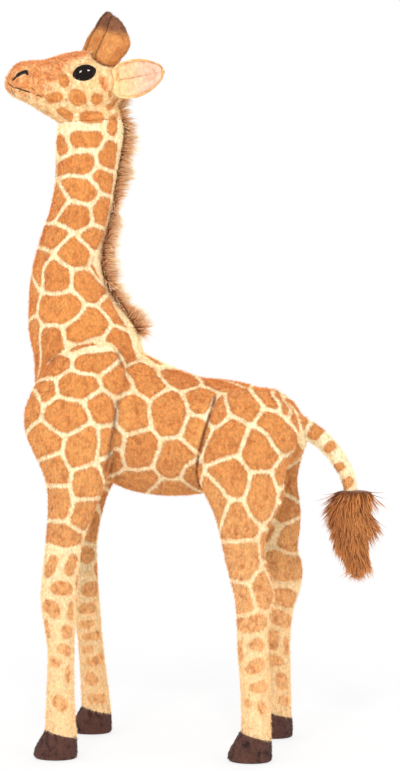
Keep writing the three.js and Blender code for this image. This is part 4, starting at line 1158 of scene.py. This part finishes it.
def strands_group():
    """Sets strands on a skin, each leaning with the comb, with clumps that lean and grow together."""
    tree = bpy.data.node_groups.new("strands", "GeometryNodeTree")
    given, out = with_sockets(tree, {
        "Geometry": "Geometry", "Strand": "Object", "Density": "Float", "Length": "Float", "Lean": "Float",
        "Comb": "Vector", "Jitter": "Float", "Clump": "Float", "Clump Scale": "Float", "Seed": "Int",
        "Material": "Material",
    }, {"Geometry": "Geometry"})

    def node(kind, inputs=(), **settings):
        return add_node(tree, kind, inputs, **settings).outputs

    def vectors(operation, first, second):
        return node("ShaderNodeVectorMath", [(0, first), (1, second)], operation=operation)

    def chance(kind, low, high, seed):
        inputs = [("Seed", seed)] if kind == "FLOAT" else [("Min", low), ("Max", high), ("Seed", seed)]
        made = add_node(tree, "FunctionNodeRandomValue", inputs, data_type=kind)
        if kind == "FLOAT":
            made.inputs[2].default_value, made.inputs[3].default_value = low, high
        return made.outputs[1 if kind == "FLOAT" else 0]

    free = node("GeometryNodeInputNamedAttribute", [("Name", "pile")], data_type="FLOAT")[0]
    density = maths(tree, "MULTIPLY", given["Density"], free)
    spread = node(
        "GeometryNodeDistributePointsOnFaces",
        [("Mesh", given["Geometry"]), ("Density", density), ("Seed", given["Seed"])],
    )
    normal, place = spread["Normal"], node("GeometryNodeInputPosition")[0]
    facing = vectors("DOT_PRODUCT", normal, given["Comb"])["Value"]
    along_skin = vectors("SUBTRACT", given["Comb"], scaled(tree, normal, facing))[0]
    upright = scaled(tree, normal, maths(tree, "SUBTRACT", 1, given["Lean"]))
    astray = chance("FLOAT_VECTOR", (-1, -1, -1), (1, 1, 1), given["Seed"])
    clumps = node("ShaderNodeTexNoise", [("Vector", place), ("Scale", given["Clump Scale"]), ("Detail", 1)])
    sway = scaled(tree, vectors("SUBTRACT", clumps["Color"], (0.5, 0.5, 0.5))[0], given["Clump"])
    way = vectors("ADD", upright, scaled(tree, along_skin, given["Lean"]))[0]
    way = vectors("ADD", vectors("ADD", way, scaled(tree, astray, given["Jitter"]))[0], sway)[0]
    turn = node("FunctionNodeAlignRotationToVector", [("Vector", way)], axis="Z")[0]
    turn = node(
        "FunctionNodeAlignRotationToVector", [("Rotation", turn), ("Vector", given["Comb"])],
        axis="X", pivot_axis="Z",
    )[0]
    own_length = maths(tree, "MULTIPLY", chance("FLOAT", 0.7, 1.2, given["Seed"]), given["Length"])
    grown = maths(tree, "ADD", maths(tree, "MULTIPLY", clumps["Fac"], given["Clump"]), 1)
    tall = maths(tree, "MULTIPLY", own_length, grown)
    size = node("ShaderNodeCombineXYZ", [("X", 1), ("Y", 1), ("Z", tall)])[0]
    tint = chance("FLOAT", 0, 1, maths(tree, "ADD", given["Seed"], 5))
    points = spread["Points"]
    for name, kind, value in (("tint", "FLOAT", tint), ("root", "FLOAT_VECTOR", place)):
        points = node(
            "GeometryNodeStoreNamedAttribute", [("Geometry", points), ("Name", name), ("Value", value)],
            data_type=kind, domain="POINT",
        )[0]
    strand = node("GeometryNodeObjectInfo", [("Object", given["Strand"])])["Geometry"]
    planted = node(
        "GeometryNodeInstanceOnPoints",
        [("Points", points), ("Instance", strand), ("Rotation", turn), ("Scale", size)],
    )[0]
    real = node("GeometryNodeRealizeInstances", [("Geometry", planted)])[0]
    coated = node("GeometryNodeSetMaterial", [("Geometry", real), ("Material", given["Material"])])[0]
    tree.links.new(coated, out["Geometry"])
    return tree


strands = strands_group()
map_margin, map_half, map_full = 0.02, 0.46, 0.96


def bake_map(mesh):
    """One place on the map for each strand, at its root: the skin laid flat as seen from either side."""
    roots = np.empty(len(mesh.vertices) * 3, np.float32)
    mesh.attributes["root"].data.foreach_get("vector", roots)
    roots = roots.reshape(-1, 3)
    low, high = roots.min(0), roots.max(0)
    size = max(high[0] - low[0], high[2] - low[2], 1e-6)
    far_side = roots[:, 1] > (low[1] + high[1]) / 2
    u = map_margin + map_half * (roots[:, 0] - low[0]) / size + 0.5 * far_side
    v = map_margin + map_full * (roots[:, 2] - low[2]) / size
    corners = np.empty(len(mesh.loops), np.int32)
    mesh.loops.foreach_get("vertex_index", corners)
    layer = mesh.uv_layers.new(name="OFBake")
    layer.data.foreach_set("uv", np.stack([u[corners], v[corners]], 1).astype(np.float32).ravel())
    mesh.attributes.remove(mesh.attributes["root"])


def strands_on(name, skin, **values):
    """A mesh of strands on a skin."""
    carrier = as_piece("strand carrier", skin.copy())
    modifier = carrier.modifiers.new("strands", "NODES")
    modifier.node_group = strands
    for item in strands.interface.items_tree:
        if item.in_out == "INPUT" and item.name in values:
            modifier[item.identifier] = values[item.name]
    made = made_by_modifiers(carrier)
    bake_map(made)
    made.shade_flat()
    piece = as_piece(name, made)
    made.materials.clear()
    made.materials.append(values["Material"])
    return piece


def open_skin(mesh, neighbours, reach):
    """Marks where pile can stand: where nothing lies within its reach."""
    free = np.ones(len(mesh.vertices))
    for index, vertex in enumerate(mesh.vertices):
        tip = vertex.co + vertex.normal * reach
        for tree in neighbours:
            spot, normal, _, away = tree.find_nearest(tip, 4 * reach)
            if spot and (away < reach * 0.6 or (tip - spot).dot(normal) < 0):
                free[index] = 0
                break
    write_attribute(mesh, "pile", free)


coat_strand = strand_object("coat strand", 0.5 * MM, 1, 0)
pile_length, horn_pile_length, hoof_pile_length = 2.3 * MM, 1.3 * MM, 1.4 * MM
head_pile_share = 0.75
pile_density = 0.75e6
head_pile_dark, head_pile_eye_gap = 0.12, 0.4 * MM
hoof_pile_foot, hoof_pile_slope = 2 * MM, 0.7


def short_pile(name, skin, crowd, length, comb, seed, lean=0.62, material=coat):
    """Short pile on a skin, so many times as dense as the coat's."""
    return strands_on(name, skin, **{
        "Strand": coat_strand, "Density": pile_density * crowd, "Length": length, "Lean": lean, "Comb": comb,
        "Jitter": 0.36, "Clump": 0.4, "Clump Scale": 260.0, "Seed": seed, "Material": material,
    })


def joined(piece, bodies, bend):
    """Lets a piece ride its only body; a piece that is given a bend keeps its place in the world instead."""
    if bend:
        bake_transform(piece)
    else:
        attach(piece, *bodies)


leg_skins = [leg for leg, _, _ in legs.values()]
skin_trees = {piece.name: tree_of(piece.data) for piece in (torso, neck, upper_neck, head, tail, *leg_skins)}
eye_trees = [tree_of(bpy.data.objects[f"{hand}_eye_dome"].data) for hand, _ in hands]
front_leg_trees = [skin_trees[leg.name] for leg in leg_skins[:2]]
near_torso = [*(skin_trees[leg.name] for leg in leg_skins), skin_trees["tail_skin"]]
# For each skin: what keeps its pile short of it, the comb, how dense it is, its bodies and where it bends
coat_piles = [
    (torso, near_torso, (0.7, 0, -0.5), 1.3, ("torso",), None),
    (neck, front_leg_trees, (0.25, 0, -1), 1.1, ("torso", "neck"), neck_bend),
    (upper_neck, [], (0.1, 0, -1), 1.1, ("neck", "upper_neck"), neck_twist),
    (head, horn_trees, (0.9, 0.35, -0.35), 1.6, ("upper_neck", "head"), head_bend),
    (tail, [skin_trees["torso_skin"]], (0.4, 0, -1), 1.1, ("torso", "tail"), tail_bend),
]
for seed, (piece, near, comb, crowd, bodies, bend) in enumerate(coat_piles):
    open_skin(piece.data, near, pile_length)
    length = pile_length
    if piece is head:
        length = pile_length * head_pile_share
        free = np.empty(len(places), np.float32)
        head.data.attributes["pile"].data.foreach_get("value", free)
        to_eye = [min(tree.find_nearest(vertex.co)[3] for tree in eye_trees) for vertex in head.data.vertices]
        unmarked = (dark < head_pile_dark) * (np.array(to_eye) > head_pile_eye_gap)
        write_attribute(head.data, "pile", free * unmarked)
    fur = short_pile(piece.name.replace("_skin", "_pile"), piece.data, crowd, length, comb, seed)
    joined(fur, bodies, bend)
for seed, (name, (leg, _, hip_bend)) in enumerate(legs.items(), 20):
    open_skin(leg.data, [skin_trees["torso_skin"], skin_trees["neck_skin"]], pile_length)
    fur = short_pile(f"{name}_pile", leg.data, 1.2, pile_length, (0.1, 0, -1), seed)
    joined(fur, ("torso", name), hip_bend)
for seed, (piece, near) in enumerate(horn_pieces, 40):
    open_skin(piece.data, [near, head_tree], horn_pile_length)
    fur = short_pile(
        f"{piece.name}_pile", piece.data, 1.6, horn_pile_length, (0.2, 0, 1), seed,
        lean=0.55, material=horn_plush,
    )
    joined(fur, ("head",), None)
for seed, (hoof, leg_name) in enumerate(hoof_pieces, 60):
    on_side = [
        vertex.co.z >= hoof_pile_foot and vertex.normal.z <= hoof_pile_slope for vertex in hoof.data.vertices
    ]
    write_attribute(hoof.data, "pile", np.array(on_side, float))
    fur = short_pile(
        hoof.name.replace("_skin", "_pile"), hoof.data, 1.6, hoof_pile_length, (-0.6, 0, -0.8), seed,
        lean=0.6, material=hoof_plush,
    )
    joined(fur, (leg_name,), None)

# Mane: a narrow strip of backing with long brown pile, cream at its ends, sewn down the back of the neck. The
# pile stands out in clumps, and goes on up the back of the head to between the ears.
def long_pile_material(name, root, low, high, end):
    """Pile that runs from its root's colour to one of its own between low and high, and to its end's."""
    material, tree, shader = new_material(name, 0.85, sheen=0.1)
    along = attribute(tree, "along")
    body = mixed(tree, ramp(tree, attribute(tree, "tint"), 0, 1), low, high)
    tip = mixed(tree, ramp(tree, along, 0.35, 1), body, end)
    tree.links.new(mixed(tree, ramp(tree, along, -0.1, 0.4), root, tip), shader.inputs["Base Color"])
    return material


mane_pile = long_pile_material(
    "mane pile", rgb(152, 88, 42), rgb(224, 152, 90), rgb(252, 208, 150), rgb(255, 238, 206),
)
backing_plush = plush_material("pile backing", rgb(118, 66, 34), rgb(84, 44, 22))
mane_strand = strand_object("mane strand", 0.8 * MM, 4, -1.6 * MM)
mane_pile_length, mane_half_width, mane_comb = 12.5 * MM, 3.2 * MM, (0.3, 0, 1)
strip_rise, strip_half_thickness, strip_end, strip_open = 0.8 * MM, 2.6 * MM, 2 * MM, 1.2 * MM
strip_rows, strip_sides, strip_spacing, strip_probe_share = 40, 20, 2 * MM, 0.01


def neck_back(share):
    """The neck's back edge, turned with the head as the skin is."""
    shares = [row[0] for row in neck_shares]
    back = np.interp(share, shares, [row[2] for row in neck_shares])
    spot = Vector((neck_root.x + back * neck_depth, 0, neck_root.z + share * neck_length))
    return Vector(turned_by_height([spot])[0])


def mane_strip(name, first, last):
    rows = []
    for step in range(strip_rows + 1):
        share = first + (last - first) * step / strip_rows
        spot, after = neck_back(share), neck_back(share + strip_probe_share)
        climb = (after - spot).normalized()
        twist = np.clip((((spot - turn_pivot).dot(turn_axis)) + twist_run / 2) / twist_run, 0, 1)
        side = Matrix.Rotation(head_turn_angle * eased(twist), 3, turn_axis) @ Vector((0, 1, 0))
        out = side.cross(climb).normalized()
        rows.append((spot + out * strip_rise, out * strip_half_thickness, side * mane_half_width))
    foot_way = (neck_back(first + strip_probe_share) - neck_back(first)).normalized()
    top_way = (neck_back(last) - neck_back(last - strip_probe_share)).normalized()
    tips = (rows[0][0] - foot_way * strip_end, rows[-1][0] + top_way * strip_end)
    strip = mesh_of(name, *loft(rows, strip_sides, strip_spacing, tips))
    seat(strip, whole_neck_tree, (1, 0, 0.2), seam_gap)
    return strip


def long_pile(name, skin, strand, density, length, lean, comb, jitter, clump, clump_scale, seed, material):
    return strands_on(name, skin, **{
        "Strand": strand, "Density": density, "Length": length, "Lean": lean, "Comb": comb, "Jitter": jitter,
        "Clump": clump, "Clump Scale": clump_scale, "Seed": seed, "Material": material,
    })


whole_neck_tree = tree_of(whole_neck)
for name, first, last, bodies, bend in (
    ("mane_lower", 0.15, 0.56, ("torso", "neck"), neck_bend),
    ("mane_upper", 0.57, 0.97, ("neck", "upper_neck"), neck_twist),
):
    strip = as_piece(f"{name}_strip", mane_strip(name, first, last), backing_plush)
    open_skin(strip.data, [whole_neck_tree], strip_open)
    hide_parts(name)
    fringe = long_pile(
        f"{name}_fringe", strip.data, mane_strand, density=1.7e6, length=0.42 * mane_pile_length, lean=0.1,
        comb=mane_comb, jitter=0.1, clump=2.3, clump_scale=62.0, seed=3, material=mane_pile,
    )
    for piece in (strip, fringe):
        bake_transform(piece)

nape_shares, behind_share = [0.09, 0.16, 0.23, 0.3, 0.36, 0.41], 1.6
inward = head_turn_3 @ Vector((-1, 0, 0))
nape = [head_tree.ray_cast(on_head(behind_share, 0, rise), inward)[0] for rise in nape_shares]
nape_skin = head.data.copy()
on_nape = distance_to_path(coordinates(nape_skin), nape) < mane_half_width
write_attribute(nape_skin, "pile", on_nape.astype(float))
nape_fringe = long_pile(
    "mane_nape_fringe", nape_skin, mane_strand, density=2e6, length=0.5 * mane_pile_length, lean=0.15,
    comb=mane_comb, jitter=0.16, clump=1.7, clump_scale=70.0, seed=5, material=mane_pile,
)
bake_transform(nape_fringe)

# Tail tuft: a pouch of long brown pile over the end of the tail, closed round it by stitches. The pile hangs
# down in locks.
tuft_length, tuft_half_length, tuft_half_width = 72 * MM, 21.5 * MM, 15 * MM
tuft_shares = [
    (0.02, 0.03, 0.94, 0.8), (0.08, 0.015, 0.96, 0.88), (0.2, -0.01, 0.94, 0.96), (0.36, 0.01, 0.98, 1),
    (0.52, 0.013, 0.88, 0.92), (0.68, 0.02, 0.74, 0.8), (0.84, 0.05, 0.58, 0.62),
]
tuft_seat_share, pouch_long_share, pouch_wide_share = 0.09, 0.86, 0.66
tuft_top_rise, tuft_end_drop, tuft_sides, tuft_spacing = 2 * MM, 6 * MM, 32, 2 * MM
tuft_pile_length, tuft_bare_above = 14 * MM, 0.55
tuft_pile = long_pile_material(
    "tuft pile", rgb(84, 42, 18), rgb(132, 68, 26), rgb(222, 142, 72), rgb(222, 152, 88),
)
tuft_strand = strand_object("tuft strand", 0.9 * MM, 4, -3 * MM)
tail_end = Vector((tail_pivot.x + tail_reach, 0, tail_pivot.z - tail_drop))
tuft_root = tail_end + up * tuft_seat_share * tuft_length
rows = []
for drop, drift, long, wide in tuft_shares:
    middle = tuft_root + Vector((drift * tuft_length, 0, -drop * pouch_long_share * tuft_length))
    half_long = pouch_wide_share * long * tuft_half_length
    half_wide = pouch_wide_share * wide * tuft_half_width
    rows.append((middle, (half_long, 0, 0), (0, half_wide, 0)))
tips = (rows[0][0] + up * tuft_top_rise, rows[-1][0] - up * tuft_end_drop)
pouch_mesh = mesh_of("pouch", *loft(rows, tuft_sides, tuft_spacing, tips))
pouch = as_piece("tail_tuft_pouch", pouch_mesh, backing_plush)
upward = np.array([vertex.normal.z for vertex in pouch.data.vertices])
write_attribute(pouch.data, "pile", (upward < tuft_bare_above).astype(float))
tuft = long_pile(
    "tail_tuft_pile", pouch.data, tuft_strand, density=1.1e6, length=tuft_pile_length, lean=0.88,
    comb=(0.1, 0, -1), jitter=0.16, clump=0.55, clump_scale=90.0, seed=11, material=tuft_pile,
)
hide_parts("tail_tuft")
for piece in (pouch, tuft):
    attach(piece, "tail")

# Floor and backdrop: a plain pale floor that keeps the shadow under the giraffe and runs out to white, and a
# white backdrop to the camera.
floor_half = 9
shade_radius, white_radius, shade_white = 0.15, 0.75, 0.72
corners = [(x * floor_half, y * floor_half, 0) for x, y in ((-1, -1), (1, -1), (1, 1), (-1, 1))]
floor_mesh = mesh_of("floor", corners, [(0, 1, 2, 3)])


def shown_directly(tree):
    """1 for rays from the camera, also by way of a mirror or through glass, else 0."""
    path = add_node(tree, "ShaderNodeLightPath").outputs
    seen = maths(tree, "MAXIMUM", path["Is Camera Ray"], path["Is Glossy Ray"])
    return maths(tree, "MAXIMUM", seen, path["Is Transmission Ray"])


floor_material, tree, shader = new_material("pale floor", 0.9)
shader.inputs["Base Color"].default_value = rgb(250, 250, 250)
place = object_place(tree)
from_middle = add_node(tree, "ShaderNodeVectorMath", [(0, place)], operation="LENGTH").outputs["Value"]
whiteness = ramp(tree, from_middle, shade_radius, white_radius, start=shade_white)
glow = add_node(tree, "ShaderNodeEmission").outputs["Emission"]
whiteness = maths(tree, "MULTIPLY", whiteness, shown_directly(tree))
mix = add_node(tree, "ShaderNodeMixShader", [("Fac", whiteness), (1, shader.outputs["BSDF"]), (2, glow)])
tree.links.new(mix.outputs["Shader"], tree.nodes["Material Output"].inputs["Surface"])
floor = as_piece("floor", floor_mesh, floor_material)

world = bpy.data.worlds.new("studio")
bpy.context.scene.world = world
world.use_nodes = True
tree = world.node_tree
sky = tree.nodes["Background"]
sky.inputs["Color"].default_value = (0.98, 0.99, 1, 1)
sky.inputs["Strength"].default_value = 0.72
white = add_node(tree, "ShaderNodeBackground", [("Color", (1, 1, 1, 1))])
ends = [(1, sky.outputs["Background"]), (2, white.outputs["Background"])]
choice = add_node(tree, "ShaderNodeMixShader", [("Fac", shown_directly(tree)), *ends])
tree.links.new(choice.outputs["Shader"], tree.nodes["World Output"].inputs["Surface"])

# Lamps: two small ones in front for the eyes' highlights, and wide ones to the left, the right and behind,
# each with its place and size in metres and its power in watts.
lamps = {
    "key": ((0.18, -1.5, 1.2), 0.2, 9.5),
    "second": ((-0.32, -1.5, 1.15), 0.15, 4.5),
    "left": ((-1.5, -1.2, 0.9), 1.2, 4.5),
    "right": ((1.6, -1.0, 0.8), 1.4, 6),
    "back": ((0.3, 1.7, 1.4), 1.4, 8),
}
lit_middle = Vector((0, 0, 0.3))
for name, (place, size, power) in lamps.items():
    light = bpy.data.lights.new(name, "AREA")
    light.energy, light.size = power, size
    lamp = bpy.data.objects.new(name, light)
    bpy.context.scene.collection.objects.link(lamp)
    lamp.location = place
    lamp.rotation_euler = (lit_middle - Vector(place)).to_track_quat("-Z", "Y").to_euler()
